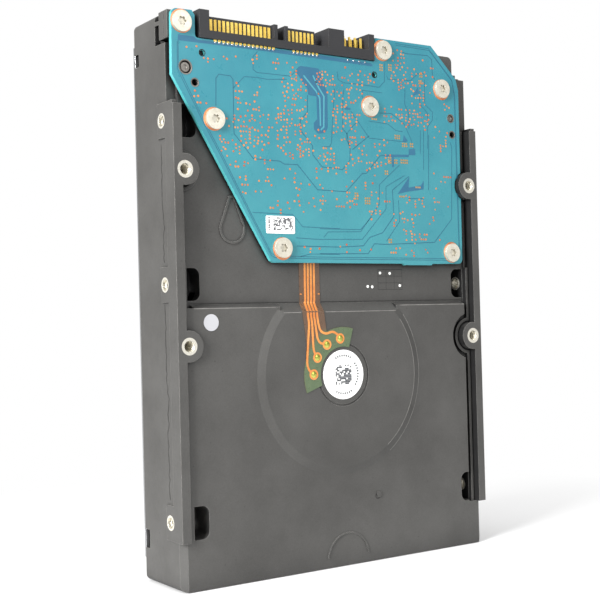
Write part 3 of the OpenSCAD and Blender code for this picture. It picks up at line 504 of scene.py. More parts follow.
class Shape:
    """Collects closed solids, then becomes one piece."""

    def __init__(self):
        self.v, self.f = [], []

    def add(self, verts, faces):
        """One more solid, whose faces count its own corners from 0."""
        n = len(self.v)
        self.v += verts
        self.f += [tuple(n + i for i in f) for f in faces]

    def prism(self, pts, d0, d1):
        """Outline of (x, z) made solid from depth d0 to d1, each a number or a function of z."""
        lo = d0 if callable(d0) else (lambda z: d0)
        hi = d1 if callable(d1) else (lambda z: d1)
        n = len(pts)
        area = sum(a[0] * b[1] - b[0] * a[1] for a, b in zip(pts, pts[1:] + pts[:1]))
        if area < 0:
            pts = pts[::-1]
        verts = [at(x, lo(z), z) for x, z in pts] + [at(x, hi(z), z) for x, z in pts]
        faces = [tuple(range(n)), tuple(range(2 * n - 1, n - 1, -1))]
        faces += [(i, n + i, n + (i + 1) % n, (i + 1) % n) for i in range(n)]
        self.add(verts, faces)

    def strip(self, pts, width, d0, d1):
        """A track of even width along points, mitred at its corners."""
        left, right = [], []
        for i, p in enumerate(pts):
            a = Vector(pts[max(i - 1, 0)])
            b = Vector(pts[min(i + 1, len(pts) - 1)])
            p = Vector(p)
            u = (p - a).normalized() if i else (b - p).normalized()
            w = (b - p).normalized() if i < len(pts) - 1 else u
            t = (u + w).normalized() if (u + w).length > 1e-6 else u
            side = Vector((-t.y, t.x)) * width / 2 / max(t.dot(u), 0.5)
            left.append(tuple(p + side))
            right.append(tuple(p - side))
        for i in range(len(pts) - 1):
            self.prism([right[i], right[i + 1], left[i + 1], left[i]], d0, d1)

    def ring(self, x, z, r0, r1, d0, d1, n=32, dome=0.0):
        """Flat ring, or a disc when r0 is 0, about an axis along the depth."""
        angles = [2 * math.pi * i / n for i in range(n)]
        outer = [(x + r1 * math.cos(a), z + r1 * math.sin(a)) for a in angles]
        if r0 <= 0:
            self.prism(outer, d0, d1)
            return
        verts = []
        for r, d in ((r0, d0), (r1, d0 + dome), (r1, d1), (r0, d1)):
            verts += [at(x + r * math.cos(a), d, z + r * math.sin(a)) for a in angles]
        faces = []
        for k in range(4):
            m = (k + 1) % 4
            for i in range(n):
                j = (i + 1) % n
                faces.append((k * n + i, k * n + j, m * n + j, m * n + i))
        self.add(verts, faces)

    def turned(self, x, z, profile, n=24):
        """Closed solid of revolution about the depth axis from (radius, depth) points."""
        angles = [2 * math.pi * i / n for i in range(n)]
        verts, rows = [], []
        for r, d in profile:
            if r < 1e-6:
                rows.append([len(verts)] * n)
                verts.append(at(x, d, z))
            else:
                rows.append(list(range(len(verts), len(verts) + n)))
                verts += [at(x + r * math.cos(a), d, z + r * math.sin(a)) for a in angles]
        faces = []
        for p, q in zip(rows, rows[1:]):
            for i in range(n):
                j = (i + 1) % n
                f = [p[i], p[j], q[j], q[i]]
                f = [v for k, v in enumerate(f) if v not in f[:k]]
                if len(f) > 2:
                    faces.append(tuple(f))
        self.add(verts, faces)

    def thread(self, origin, axis, r, length, pitch=0.79, depth=0.2, n=20):
        """Helical ridge inside a bore of radius r; axis, of length 1, points into the metal."""
        u = axis.orthogonal().normalized()
        w = axis.cross(u)
        root, flank = r + 0.02, 0.36
        steps = int(length / pitch * n)
        verts, faces = [], []
        for i in range(steps + 1):
            a = 2 * math.pi * i / n
            t = pitch * i / n
            out = u * math.cos(a) + w * math.sin(a)
            for rr, s in ((root, -flank), (r - depth, 0.0), (root, flank)):
                verts.append(origin + (out * rr + axis * (t + s * pitch)) * MM)
        for i in range(steps):
            p, q = 3 * i, 3 * i + 3
            for k in range(3):
                m = (k + 1) % 3
                faces.append((p + k, q + k, q + m, p + m))
        faces += [(0, 1, 2), (3 * steps + 2, 3 * steps + 1, 3 * steps)]
        self.add(verts, faces)

    def make(self, name, mat, body="root", smooth=None):
        mesh = bpy.data.meshes.new(name)
        mesh.from_pydata(self.v, [], self.f)
        bm = bmesh.new()
        bm.from_mesh(mesh)
        bmesh.ops.recalc_face_normals(bm, faces=bm.faces)
        bm.to_mesh(mesh)
        bm.free()
        mesh.materials.append(M[mat])
        obj = bpy.data.objects.new(name, mesh)
        bpy.context.scene.collection.objects.link(obj)
        if smooth:
            for p in mesh.polygons:
                p.use_smooth = True
            mesh.set_sharp_from_angle(angle=math.radians(smooth))
        if body:
            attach(obj, body)
        return obj


def from_end(pts):
    """Plan points (x, z) from (x, distance from the connector end)."""
    return [(x, TOP_Z - e) for x, e in pts]


def box(x0, x1, z0, z1):
    """Outline of a rectangle."""
    return [(x0, z0), (x1, z0), (x1, z1), (x0, z1)]


# ---- circuit board ----

# What is printed or plated on the board stands 0.02 proud of it and is sunk 0.01 into it
T0, T1 = BOARD_D - 0.02, BOARD_D + 0.01

# Lines of mask that show copper under them: (x, distance from the connector end)
TRACKS = [
    [(-37.5, 24.4), (-37.3, 17.2), (-36.4, 16.1), (-33, 16.2), (-32.2, 17), (-32.3, 31.1), (-26.6, 37.3),
     (-18.3, 37.5), (-17, 38.2), (-12.7, 38.1), (-6.3, 44.6), (3.4, 44.7), (9.2, 39.3), (10.5, 39.3),
     (15.6, 34), (19.3, 33.6)],
    [(-32.1, 19.2), (-28.8, 16), (-24.9, 15.8), (-21.8, 16), (-15.5, 15.4)],
    [(-24.5, 8.9), (-25.9, 10.4), (-26, 13.8), (-24.8, 14.5), (-14.2, 14.4), (-11.2, 11.5)],
    [(-8.9, 19), (-9, 23.6), (-11.4, 26.1), (-11.3, 28.9), (-7.6, 32.7), (-7.6, 35.1), (-4.6, 38.3),
     (-0.4, 38.4), (2.3, 38.7), (4.9, 35.9), (5.1, 32.2), (4, 30.4), (4.1, 28.4)],
    [(0.2, 16.4), (0.1, 18.3), (-0.9, 27.3), (-1.2, 31.4), (-1.9, 32.6), (-4.5, 32.8)],
    [(1.3, 11.6), (1.6, 13.8), (3.4, 14.5), (8.9, 14.4), (15.9, 14.6), (17.9, 12.7), (18.1, 7.4)],
    [(24.4, 3.5), (26, 3.9), (34.2, 3.6), (35.7, 4.6), (35.9, 9.5), (36.8, 10.3)],
    [(9.8, 18.5), (9.9, 16), (16.9, 16.1)],
    [(18.7, 11), (19.2, 12), (27.6, 11.5), (30.3, 9.2), (32.5, 9.1)],
    [(3.5, 16.3), (3, 18.6), (2.7, 27.4), (4.1, 28.6), (4.9, 32.7)],
    [(5.7, 22.2), (11.9, 29.3), (25.5, 29.5)],
    [(4.2, 28.4), (7.5, 25.1)],
    [(5.9, 32.9), (11.9, 28.6)],
    [(15.7, 21.9), (20, 21.7), (24.6, 24.3), (27, 28.4), (28, 31.7)],
    [(11.9, 24.5), (18.8, 24.8), (21.6, 26.5), (24.1, 26.6)],
    [(25.3, 14.3), (25.1, 18.6), (26.5, 21.3), (26.4, 25.6)],
    [(30.9, 13.8), (30.7, 18.1), (33.6, 20.5), (33.5, 23.9)],
    [(32.8, 10.7), (32.6, 18), (35.5, 20), (35.4, 22.4), (33.5, 24.5), (33.2, 30.9)],
    [(42.1, 28.4), (42.6, 30.3), (41.8, 51.2), (34.9, 58.2), (17, 59.1), (12.7, 59), (10.4, 61.8),
     (-6.1, 62)],
    [(22.5, 36.3), (15, 42.3), (14.8, 47.8), (8, 55.7), (-3.1, 56), (-4.7, 57.5)],
    [(24.3, 39.2), (17.4, 42.7), (17.2, 49), (8.5, 57.8), (-6, 58.1), (-9.3, 58), (-13.8, 57.8)],
    [(25.8, 39.4), (19.7, 43.6), (20, 51), (15.8, 55.8), (11.2, 57.2), (8.8, 59.6), (0.7, 60.1),
     (-13.6, 60)],
    [(21.8, 46.4), (22, 52.5), (17.1, 58.2)],
    [(-5.9, 55.2), (8, 55.1), (12, 51.5)],
    [(25.6, 45.8), (31.2, 45.6)],
    [(30.7, 25.7), (30.4, 32.7)],
    [(31.9, 25.6), (31.5, 37.2)],
    [(33.8, 26.8), (33.2, 43)],
    [(-27.3, 51.4), (-14.6, 51.6), (-11.5, 54.8), (0.9, 55)],
    [(-12.4, 62.8), (-9.2, 62.1), (0.6, 62.1)],
]
BORDER = [(-48.3, 9), (-48.4, 15.9), (-47.2, 18.2), (-41.6, 28.4), (-35.9, 38), (-27.2, 53.4), (-21.8, 62.6),
          (-20.6, 63.2), (-6.1, 63.4), (43.4, 63.4), (44.6, 62.2), (44.5, 44), (44.4, 14.6), (43.4, 10.2),
          (34.8, 2), (22.4, 1.9)]
POURS = [
    [(-10.9, 11.3), (-12.6, 12.9), (-8.8, 17.4), (-8.6, 19), (-5.9, 19.1), (-5.8, 25.3), (-7, 26.4),
     (-7, 28.1), (-5.7, 29.3), (-3.4, 28.9), (-2.4, 27.5), (-2.2, 17.4), (-3.6, 15.4), (-4.5, 12.2),
     (-5, 11.4)],
    [(24.4, 27.5), (25.9, 29.2), (24, 29.6)],
    [(26.1, 31.5), (28.5, 31.3), (28.5, 33.1), (26.1, 33.2)],
    [(17.2, 33.6), (26.1, 33.1), (26, 33.8), (20.6, 34.1), (20.5, 37), (19.8, 37), (19.9, 34.2),
     (17.2, 34.1)],
    [(26, 39.5), (25.7, 42.6), (30.3, 41.8), (31.4, 40.4), (31.3, 42.9), (25.3, 43.8), (21.6, 44.6)],
    [(30.1, 13.3), (30.6, 15), (27.8, 16.1)],
    [(3.5, 21), (5.6, 21.4), (5.6, 21.9), (3.5, 21.9)],
    [(-48, 7.2), (-43.5, 7.2), (-42.4, 7.9), (-22.5, 7.75), (-4.3, 7.7), (13.3, 8.1), (13.9, 8.9),
     (-7.7, 8.7), (-22.5, 8.6), (-39.8, 8.6), (-48.1, 8.7)],
]
POUR_TRACKS = [
    [(-10, 13.8), (-6, 17.7), (-4.8, 19.5), (-4.8, 27.1)],
    [(-6.9, 13.5), (-5, 16.8), (-3.4, 18.9), (-3.7, 27.3), (-4.7, 28.2)],
]

shape = Shape()
for i, line in enumerate(TRACKS):
    shape.strip(from_end(line), 0.16 if i % 3 else 0.2, T0, T1)
for offset in (0, 0.5):
    shape.strip(from_end([(x * (1 - offset * 0.012), e - offset) for x, e in BORDER]), 0.16, T0, T1)
shape.make("board_tracks", "trace")

shape = Shape()
for area in POURS:
    shape.prism(from_end(area), T0 - 0.004, T1)
shape.make("board_pours", "pour")

shape = Shape()
for line in POUR_TRACKS:
    shape.strip(from_end(line), 0.42, T0 - 0.012, T1)
shape.make("board_pour_tracks", "trace_pale")

# Vias, in clusters (x, e, half width, half height, how many)
VIA_GAP_SQUARED, VIA_STEP, VIA_TRIES = 0.72, 0.85, 400
rng = random.Random(7)
CLUSTERS = [
    (-30, 33, 7, 7, 44), (-22, 29, 8, 6, 40), (-14, 29, 5, 7, 26), (-13, 20, 4, 5, 22), (-8, 32, 5, 4, 16),
    (-28, 23, 4, 6, 10), (-40, 39, 3, 4, 6), (-24, 42, 3, 5, 8), (-14, 43, 3, 4, 8), (-3, 14, 3, 2, 16),
    (1, 23, 2, 6, 20), (6, 18, 4, 5, 16), (10, 12, 6, 2, 12), (5, 27, 3, 4, 16), (22, 5, 4, 3, 12),
    (26, 11, 6, 3, 22), (30, 16, 3, 3, 10), (22, 22, 5, 3, 12), (30, 23, 4, 2, 16), (12, 33, 7, 4, 18),
    (9, 38, 6, 4, 14), (-3, 36, 4, 3, 12), (-8, 47, 5, 4, 12), (3, 46, 5, 3, 12), (14, 48, 3, 5, 10),
    (30, 54, 7, 4, 14), (28, 47, 4, 2, 8), (38, 45, 3, 7, 10), (38, 27, 4, 3, 8), (24, 53, 4, 4, 12),
    (-18, 48, 5, 4, 8), (-2, 60.5, 10, 1.2, 8), (22, 61, 12, 1, 9), (-42, 11, 4, 2, 4), (-30, 11, 6, 2, 6),
    (-16, 12, 5, 2, 8), (34, 9, 2, 4, 6), (41, 20, 1.5, 4, 4), (-44, 23, 1.5, 4, 4), (-33, 44, 4, 5, 6),
]
# Where no via goes: (x, e, radius) about screws, holes and the notch for the right-hand mounting hole
blocked = [(x, e, 3.6) for x, e in BOARD_SCREWS]
blocked += [(x, e, 1.3) for x, e in TOOLING_HOLES]
blocked += [(x, e, r) for (x, e, _), r in zip(BOARD_HOLES, (2.4, 1.8, 1.7, 1.7))]
blocked += [(47.6, 41.3, 5.4)]


def on_board(x, e):
    """Inside the board's mask border and clear of screws, holes and the sticker."""
    if e < 9.3 and x < 21 or e > 62.8 or x > 44 or e < 3 or x - e > 32:
        return False
    if x < -48 or e > 17 and x < -47.6 + (e - 17) * 0.585:
        return False
    if -23.9 < x < -13.6 and 51.7 < e < 57.3:
        return False
    return all((x - bx) ** 2 + (e - be) ** 2 > r * r for bx, be, r in blocked)


vias = []
for cx, ce, rx, re, n in CLUSTERS:
    made = tries = 0
    while made < n and tries < VIA_TRIES:
        tries += 1
        x, e = cx + rx * rng.uniform(-1, 1), ce + re * rng.uniform(-1, 1)
        if not on_board(x, e) or any((x - a) ** 2 + (e - b) ** 2 < VIA_GAP_SQUARED for a, b in vias):
            continue
        vias.append((x, e))
        made += 1
        if rng.random() < 0.3:
            for k in range(rng.randint(1, 3)):
                step = VIA_STEP * (k + 1)
                x2, e2 = (x + step, e) if rng.random() < 0.4 else (x, e + step)
                if on_board(x2, e2) and all((x2 - a) ** 2 + (e2 - b) ** 2 > 0.5 for a, b in vias):
                    vias.append((x2, e2))
shape = Shape()
cores = Shape()
for x, e in vias:
    r = rng.choice((0.24, 0.28, 0.31))
    shape.ring(x, TOP_Z - e, 0.1, r, T0 - 0.012, T1, 10)
    cores.ring(x, TOP_Z - e, 0, 0.1, T0 - 0.006, T1, 8)
shape.make("board_vias", "via")
cores.make("board_via_cores", "copper")

# Solder lands: grids of small squares, (x, e, columns, rows)
LAND_STEP, LAND_HALF = 0.72, 0.24
LANDS = [(16.8, 8.9, 2, 3), (20, 8.6, 2, 3), (31.4, 9.7, 2, 2), (31.1, 11.7, 2, 2), (13.8, 23.8, 3, 1),
         (22, 28.3, 3, 2), (24.6, 30.4, 3, 2), (27.2, 30.3, 2, 2), (19, 35.1, 2, 3), (21.2, 35.4, 2, 2),
         (24.3, 35.2, 4, 2), (17.7, 38.7, 2, 2), (23.1, 45.3, 3, 1), (10.7, 47, 3, 3), (29.2, 42.4, 3, 1),
         (18.4, 58.1, 2, 2), (6.8, 45.8, 2, 3)]
shape = Shape()
for cx, ce, nx, ne in LANDS:
    for i in range(nx):
        for j in range(ne):
            x, z = cx + (i - (nx - 1) / 2) * LAND_STEP, TOP_Z - ce - (j - (ne - 1) / 2) * LAND_STEP
            shape.prism(box(x - LAND_HALF, x + LAND_HALF, z - LAND_HALF, z + LAND_HALF), T0 - 0.015, T1)
shape.make("board_lands", "tinned")

# Bare copper rings that show past each screw head, each a little off centre its own way
shape = Shape()
for i, (x, e) in enumerate(BOARD_SCREWS):
    a = 0.9 + 2.1 * i
    shape.ring(x + 0.2 * math.cos(a), TOP_Z - e + 0.2 * math.sin(a), 2.2, 3.05, T0 - 0.01, T1, 48)
shape.make("screw_lands", "copper")

# Plated rims of the board's own holes, and the post with a dished end that shows in each of the first two
POSTS = [
    [(0, 1.95), (0.5, 1.95), (0.62, 1.7), (1.2, 1.7), (1.35, 1.85), (1.35, UPPER_D), (0, UPPER_D)],
    [(0, 1.9), (0.3, 1.9), (0.4, 1.7), (0.75, 1.7), (0.85, 1.85), (0.85, UPPER_D), (0, UPPER_D)],
]
shape = Shape()
for x, e, r in BOARD_HOLES:
    shape.ring(x, TOP_Z - e, r - 0.16, r + 0.16, T0 - 0.02, BOARD_D + 1.1, 32, -0.02)
for (x, e, _), profile in zip(BOARD_HOLES, POSTS):
    shape.turned(x, TOP_Z - e, profile)
shape.make("board_hole_rims", "dull", smooth=40)

# Painted shade: a dark disc down in each tooling hole, and a dark rim about it
shape = Shape()
for x, e in TOOLING_HOLES:
    shape.ring(x, TOP_Z - e, 0, 0.74, 2.3, 2.6, 20)
    shape.ring(x, TOP_Z - e, 0.72, 0.95, T0 - 0.01, T1, 20)
shape.make("tooling_hole_shade", "hole_shade")

# Threads cut in the ten mounting holes
shape = Shape()
for s in (-1, 1):
    for z in BOTTOM_HOLES_Z:
        shape.thread(at(s * BOTTOM_HOLE_X, 0.45, z), Vector((0, 1, 0)), HOLE_R, 4.4)
for s in (-1, 1):
    for z in SIDE_HOLES_Z:
        shape.thread(at(s * SIDE_X, SIDE_HOLE_D, z), Vector((-s, 0, 0)), HOLE_R, 3.0)
shape.make("mounting_threads", "screw", smooth=30)

# White sticker on the board, with a meaningless pattern
STICKER_R = 0.4
left, right, near, far = -23.2 + STICKER_R, -14.1 - STICKER_R, 52.1 + STICKER_R, 56.8 - STICKER_R
outline = []
for i, (cx, ce) in enumerate(((right, near), (left, near), (left, far), (right, far))):
    for k in range(5):
        a = math.radians(90 * i + 22.5 * k)
        outline.append((cx + STICKER_R * math.cos(a), TOP_Z - ce + STICKER_R * math.sin(a)))
shape = Shape()
shape.prism(outline, BOARD_D - 0.1, BOARD_D + 0.005)
shape.make("board_sticker", "label")


def ink_on(d):
    """Depths of print on a surface at depth d."""
    return d - 0.008, d + 0.004


def pattern(shape, x0, z0, nx, nz, cell, d, share, seed):
    """Random little squares, merged in runs along x, that encode nothing."""
    r = random.Random(seed)
    for j in range(nz):
        i = 0
        while i < nx:
            run = 1
            if r.random() < share:
                while run < 3 and i + run < nx and r.random() < 0.35:
                    run += 1
                z = z0 + j * cell
                shape.prism(box(x0 + i * cell, x0 + (i + run) * cell, z, z + cell * 0.92), *ink_on(d))
            i += run


shape = Shape()
pattern(shape, -20.9, TOP_Z - 55.9, 18, 10, 0.34, BOARD_D - 0.1, 0.42, 3)
for k in range(8):
    z = TOP_Z - 55.8 + 0.42 * k
    shape.prism(box(-22.5, -21.9, z, z + (0.3 if k % 3 else 0.18)), *ink_on(BOARD_D - 0.1))
shape.make("board_sticker_print", "ink")



def polar(r, angle):
    """Plan point at radius r and an angle in degrees about the spindle."""
    a = math.radians(angle)
    return (r * math.cos(a), SPIN_Z + r * math.sin(a))


# Motor label print: arcs of short bars about a meaningless block
LABEL_D = (LABEL[0].y - FACE_Y) / MM
shape = Shape()
pattern(shape, -2.7, SPIN_Z - 2.7, 12, 12, 0.45, LABEL_D, 0.5, 11)
for r, a0, a1, step in ((4.9, 60, 120, 8), (4.9, 240, 300, 8), (4.6, -38, 38, 9)):
    for a in range(a0, a1, step):
        b = a + step * 0.55
        shape.prism([polar(r, a), polar(r + 0.55, a), polar(r + 0.55, b), polar(r, b)], *ink_on(LABEL_D))
shape.make("motor_label_print", "ink")

# ---- motor flex ----

FILM_D = (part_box("motor_flex")[0].y - FACE_Y) / MM
BEND_Z = (69.3, 71.76)


def film_depth(z, lift=0.0):
    """Depth of the film's outer face at z, on the motor ring, down the step and on the upper floor,
    or of what stands lift mm off it."""
    t = min(max((z - BEND_Z[0]) / (BEND_Z[1] - BEND_Z[0]), 0), 1)
    return FILM_D + t * (UPPER_D - 0.12 - FILM_D) - lift


def fine(pts, step=0.35):
    """Polyline cut into steps, so that it follows the film over its bend."""
    out = []
    for a, b in zip(pts, pts[1:]):
        n = max(1, int(math.dist(a, b) / step))
        out += [(a[0] + (b[0] - a[0]) * i / n, a[1] + (b[1] - a[1]) * i / n) for i in range(n)]
    return out + [pts[-1]]


def rounded(pts, r=0.9, n=4):
    """Polyline with its corners rounded."""
    out = [pts[0]]
    for a, p, b in zip(pts, pts[1:], pts[2:]):
        a, p, b = Vector(a), Vector(p), Vector(b)
        k = min(r, (a - p).length / 2.2, (b - p).length / 2.2)
        s, t = p + (a - p).normalized() * k, p + (b - p).normalized() * k
        for i in range(n + 1):
            w = i / n
            out.append(tuple((1 - w) ** 2 * s + 2 * w * (1 - w) * p + w * w * t))
    return out + [pts[-1]]


PADS = [polar(9.9, 95 + 27.5 * i) for i in range(4)]
# Each track's points from the motor ring's edge on, before its pad
ENDS = [
    [(-8.0, 66.0), (-7.4, 64.0), (-5.6, 63.2), (-3.2, 63.9), (-1.6, 62.9)],
    [(-9.0, 66.0), (-8.4, 62.0), (-7.6, 60.8)],
    [(-10.0, 66.0), (-9.9, 61.0), (-9.7, 58.6)],
    [(-11.0, 66.0), (-11.5, 61.0), (-12.0, 55.6), (-11.6, 53.8)],
]
shape = Shape()
for i, (end, pad) in enumerate(zip(ENDS, PADS)):
    top = -7.1 - 1.0 * i
    line = [(top + 0.1, 82.9), (top, 75.0), (top, 72.1), (top - 1.35, 69.1), *end, pad]
    shape.strip(fine(rounded(line)), 0.62, lambda z: film_depth(z, 0.04), lambda z: film_depth(z, -0.02))
shape.make("flex_tracks", "track")

shape = Shape()
for x, z in PADS:
    shape.ring(x, z, 0.92, 1.42, film_depth(z, 0.05), film_depth(z, -0.02), 28)
for x in (-11.5, -5.6):
    shape.prism(box(x - 0.3, x + 0.3, 74.0, 74.3), film_depth(74, 0.03), film_depth(74, -0.02))
shape.make("flex_pad_rings", "track")

shape = Shape()
for x, z in PADS:
    d = film_depth(z)
    dome = [(0, d - 0.32), (0.3, d - 0.3), (0.62, d - 0.22), (0.88, d - 0.06), (0.94, d), (0, d)]
    shape.turned(x, z, dome, 20)
solder = shape.make("flex_solder", "solder", smooth=60)
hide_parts("motor_flex_pads")

# ---- head ribbon: its bracket holds one end and the arm carries the other ----

# In metres: a straight end at the bracket, then a loop of radius RIBBON_LOOP down to the arm
RIBBON_LO, RIBBON_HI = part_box("actuator_flex")
RIBBON_LOOP, RIBBON_STEPS = 12 * MM, 48
RIBBON_IN, RIBBON_OUT = RIBBON_LOOP - 0.075 * MM, RIBBON_LOOP + 0.075 * MM
loop_x = RIBBON_LO.x + RIBBON_OUT
loop_z = RIBBON_LO.z + RIBBON_OUT
loop_end = 2 * math.pi - math.acos((RIBBON_HI.x - loop_x) / RIBBON_OUT)


def ribbon(name, mat, r0, r1, runs):
    """Bands on edge, from radius r0 to r1 about the loop, over each (low y, high y) of runs."""
    shape = Shape()
    for y0, y1 in runs:
        verts = []
        for i in range(-1, RIBBON_STEPS + 1):
            a = math.pi + (loop_end - math.pi) * max(i, 0) / RIBBON_STEPS
            for r, y in ((r0, y0), (r1, y0), (r1, y1), (r0, y1)):
                z = RIBBON_HI.z if i < 0 else loop_z + r * math.sin(a)
                verts.append((loop_x + r * math.cos(a), y, z))
        n = len(verts) // 4
        faces = [(0, 1, 2, 3), tuple(4 * n - 1 - k for k in range(4))]
        faces += [(4 * i + k, 4 * i + (k + 1) % 4, 4 * i + 4 + (k + 1) % 4, 4 * i + 4 + k)
                  for i in range(n - 1) for k in range(4)]
        shape.add(verts, faces)
    piece = shape.make(name, mat, body=None, smooth=40)
    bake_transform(piece)
    return piece


band = ribbon("head_ribbon", "film", RIBBON_IN, RIBBON_OUT - 0.02 * MM, [(RIBBON_LO.y, RIBBON_HI.y)])
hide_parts("actuator_flex")
starts = [RIBBON_LO.y + (0.35 + 0.5 * i) * MM for i in range(9)]
ribbon("head_ribbon_tracks", "track", RIBBON_OUT - 0.03 * MM, RIBBON_OUT,
       [(y, y + 0.25 * MM) for y in starts])

# ---- casting marks ----

shape = Shape()
for x, z in ((15.9, 79.9), (19.4, 79.8), (11.4, 76.1), (13.0, 76.0), (23.0, 76.3)):
    shape.ring(x, z, 0, 0.42, UPPER_D - 0.03, UPPER_D + 0.01, 20)
shape.make("paint_dots", "paint")

GRID_X, GRID_Z = (15.1, 23.9), (75.2, 80.9)
on_floor = (UPPER_D - 0.012, UPPER_D + 0.01)
shape = Shape()
for k in range(4):
    z = GRID_Z[1] - 1.9 * k
    shape.strip([(GRID_X[0], z), (GRID_X[1], z)], 0.12 if k else 0.22, *on_floor)
for k in range(4):
    x = GRID_X[0] + 2.93 * k
    shape.strip([(x, GRID_Z[1]), (x, GRID_Z[0])], 0.1, *on_floor)
shape.make("date_grid", "groove")

shape = Shape()
shape.ring(11.3, 17.6, 0.55, 0.85, DECK_D - 0.015, DECK_D + 0.02, 28)
shape.make("ejector_mark", "groove")

# Painted highlights along the ring's and the step's edges, and a painted shadow at the step's foot
RING_D = 0.5
RING_EDGES = ((25.1, RING_D), (27.3, DECK_D))  # (radius, depth)
DECK_EDGE_Z, RING_EDGE_Z, STEP_FOOT_Z = 70.8, 69.3, 71.75
shape = Shape()
for r, d in RING_EDGES:
    shape.strip([polar(r, a) for a in range(-54, 38, 3)], 0.13, d - 0.012, d + 0.03)
for x0, x1 in ((-45.5, -21), (21, 45.5)):
    shape.strip([(x0, DECK_EDGE_Z - 0.12), (x1, DECK_EDGE_Z - 0.12)], 0.2, DECK_D - 0.012, DECK_D + 0.02)
for x0, x1 in ((-19, -13.4), (-5.4, 19)):
    shape.strip([(x0, RING_EDGE_Z - 0.12), (x1, RING_EDGE_Z - 0.12)], 0.2, RING_D - 0.012, RING_D + 0.02)
shape.make("painted_edge_highlights", "edge_highlight")

# Painted shadow: a dark strip along the foot of the step
shape = Shape()
for x0, x1 in ((-45.8, -12.3), (-4.8, 45.8)):
    shape.strip([(x0, STEP_FOOT_Z + 0.22), (x1, STEP_FOOT_Z + 0.22)], 0.34, UPPER_D - 0.012, UPPER_D + 0.02)
shape.make("step_painted_shadow", "groove")

# Flash left along the parting line on both sides, between the pads of the side holes
FLASH_X = (SIDE_X - 0.01, SIDE_X + 0.04)
shape = Shape()
rng = random.Random(5)
for s in (-1, 1):
    for z0, z1, d0 in ((22.6, 71.2, SIDE_HOLE_D + 0.5), (82.6, 112.5, SIDE_HOLE_D + 0.6)):
        z, d = z0, d0
        while z < z1:
            step = rng.uniform(0.3, 1.3)
            d2 = min(max(d + rng.uniform(-0.45, 0.45), d0 - 0.6), d0 + 0.6)
            w = rng.uniform(0.07, 0.17)
            pts = [(d - w, z), (d + w, z), (d2 + w, z + step), (d2 - w, z + step)]
            corners = [at(s * x, p, q) for x in FLASH_X for p, q in pts]
            ends = [(0, 1, 2, 3), (4, 5, 6, 7)]
            shape.add(corners, ends + [(0, 1, 5, 4), (1, 2, 6, 5), (2, 3, 7, 6), (3, 0, 4, 7)])
            z, d = z + step, d2
shape.make("parting_flash", "groove")

# ---- solder tails under the connector ----

PITCH, TAIL_E = 1.27, 8.0
tails = [-37.3 + PITCH * i for i in range(15)] + [-13.05 + PITCH * i for i in range(7)] + [5, 7, 9, 11]
shape = Shape()
for x in tails:
    shape.turned(x, TOP_Z - TAIL_E, [(0, 1.22), (0.14, 1.25), (0.24, 1.36), (0.28, T1), (0, T1)], 10)
shape.make("connector_solder", "bright", smooth=60)

# ---- printed bars on the cover label ----

COVER_D = (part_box("cover_label")[1].y - FACE_Y) / MM
on_cover = (COVER_D - 0.005, COVER_D)
LABEL_HOLES = ((0, SPIN_Z), (12, 110), (-25, 125))
shape = Shape()
rng = random.Random(21)
for row in range(9):
    z = 122 - 6.2 * row
    x = -31.0
    while x < 12:
        w = rng.uniform(2.2, 8.5)
        clear = all(math.dist((x + w / 2, z), c) > 7 + w / 2 for c in LABEL_HOLES)
        if clear and x + w < 30:
            shape.prism(box(x, x + w, z, z + 1.3), *on_cover)
        x += w + 1.2
# Stripes of random widths, which encode nothing, and a border
x = -30.0
while x < 30:
    w = rng.choice((0.25, 0.5, 0.75))
    shape.prism(box(x, x + w, 31, 37), *on_cover)
    x += w + rng.choice((0.3, 0.5, 0.8))
frame_line = box(-33.2, 33.2, 28, 132)
shape.strip(frame_line + frame_line[:1], 0.35, *on_cover)
shape.make("cover_label_print", "ink")

# ---- stage ----


FLOOR_Z = -0.0002
FADE = (60, 190)  # mm from the middle of the object, from the floor's own shade to the backdrop's white


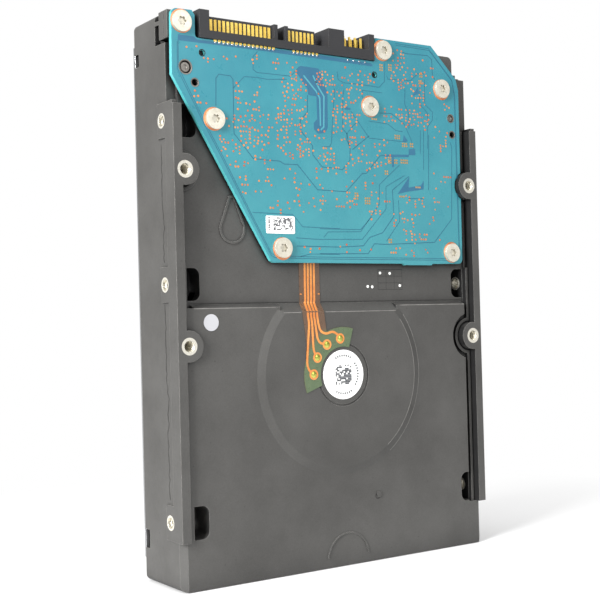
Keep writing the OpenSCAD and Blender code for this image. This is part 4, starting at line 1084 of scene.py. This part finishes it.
def floor():
    """Pale floor that fades to the white of the backdrop away from the object."""
    n, rings = 64, (0.1, 0.2, 0.35, 0.6, 1.0, 2.0, 6.0)
    angles = [2 * math.pi * i / n for i in range(n)]
    verts = [Vector((0, 0, FLOOR_Z))]
    verts += [Vector((r * math.cos(a), r * math.sin(a), FLOOR_Z)) for r in rings for a in angles]
    faces = []
    for i in range(n):
        j = (i + 1) % n
        faces.append((0, 1 + i, 1 + j))
        for k in range(len(rings) - 1):
            a, b = 1 + k * n, 1 + (k + 1) * n
            faces.append((a + i, b + i, b + j, a + j))
    mesh = bpy.data.meshes.new("floor")
    mesh.from_pydata(verts, [], faces)
    m = Mat("floor_mat", 0.75, 0.0, 0.2)
    x, y, z = m.sep(m.mm)
    r = m.vec("LENGTH", m.combine(x, y, 0.0), None, 1)
    m.set(color=m.mix(m.noise(60), lin(243, 243, 243), lin(249, 249, 249)), normal=m.bump(m.noise(1.5), 0.02))
    glow = m.t.nodes.new("ShaderNodeEmission")
    glow.inputs["Color"].default_value = (1, 1, 1, 1)
    mixer = m.t.nodes.new("ShaderNodeMixShader")
    out = next(n for n in m.t.nodes if n.type == "OUTPUT_MATERIAL")
    m.put(mixer.inputs[0], m.span(r, *FADE))
    m.put(mixer.inputs[1], m.b.outputs[0])
    m.put(mixer.inputs[2], glow.outputs[0])
    m.put(out.inputs[0], mixer.outputs[0])
    mesh.materials.append(m.m)
    obj = bpy.data.objects.new("floor", mesh)
    bpy.context.scene.collection.objects.link(obj)


floor()

# The camera sees a white backdrop, and what the backdrop lights gets about half of that
world = bpy.data.worlds.new("studio")
world.use_nodes = True
sky = world.node_tree.nodes["Background"]
sky.inputs[0].default_value = (1, 1, 1, 1)
path = world.node_tree.nodes.new("ShaderNodeLightPath")
strength = world.node_tree.nodes.new("ShaderNodeMapRange")
strength.inputs["To Min"].default_value = 0.52
world.node_tree.links.new(path.outputs["Is Camera Ray"], strength.inputs["Value"])
world.node_tree.links.new(strength.outputs[0], sky.inputs[1])
bpy.context.scene.world = world
bpy.context.scene.view_settings.view_transform = "Standard"

CENTRE = (cad_lo + cad_hi) / 2


def area(name, place, size, power):
    """Rectangular light that faces the middle of the object."""
    light = bpy.data.lights.new(name, "AREA")
    light.shape = "RECTANGLE"
    light.size, light.size_y = size
    light.energy = power
    obj = bpy.data.objects.new(name, light)
    obj.location = place
    obj.rotation_euler = (CENTRE - Vector(place)).to_track_quat("-Z", "Y").to_euler()
    bpy.context.scene.collection.objects.link(obj)


area("key_left", (-0.85, -0.28, 0.36), (0.3, 0.6), 16.5)
area("fill_front", (0.1, -0.9, 0.5), (0.5, 0.5), 2.5)
area("top_soft", (0.1, -0.1, 0.9), (0.6, 0.6), 3.0)

# ---- camera, fitted to the photo's view ----

CAMERA_AT = (-0.1834, -0.2630, 0.0673)
cam_data = bpy.data.cameras.new("camera")
cam_data.lens = 68.07
cam_data.sensor_width = 36.0
cam_data.clip_start = 0.01
cam_data.clip_end = 20
cam = bpy.data.objects.new("camera", cam_data)
forward = Vector((0.5609, 0.8277, 0.0172)).normalized()
right = Vector((0.8278, -0.5605, -0.0258))
right = (right - forward * right.dot(forward)).normalized()
up = right.cross(forward)
cam.matrix_world = Matrix((
    *((right[i], up[i], -forward[i], CAMERA_AT[i]) for i in range(3)),
    (0, 0, 0, 1),
))
bpy.context.scene.collection.objects.link(cam)
bpy.context.scene.camera = cam

bpy.context.view_layer.update()
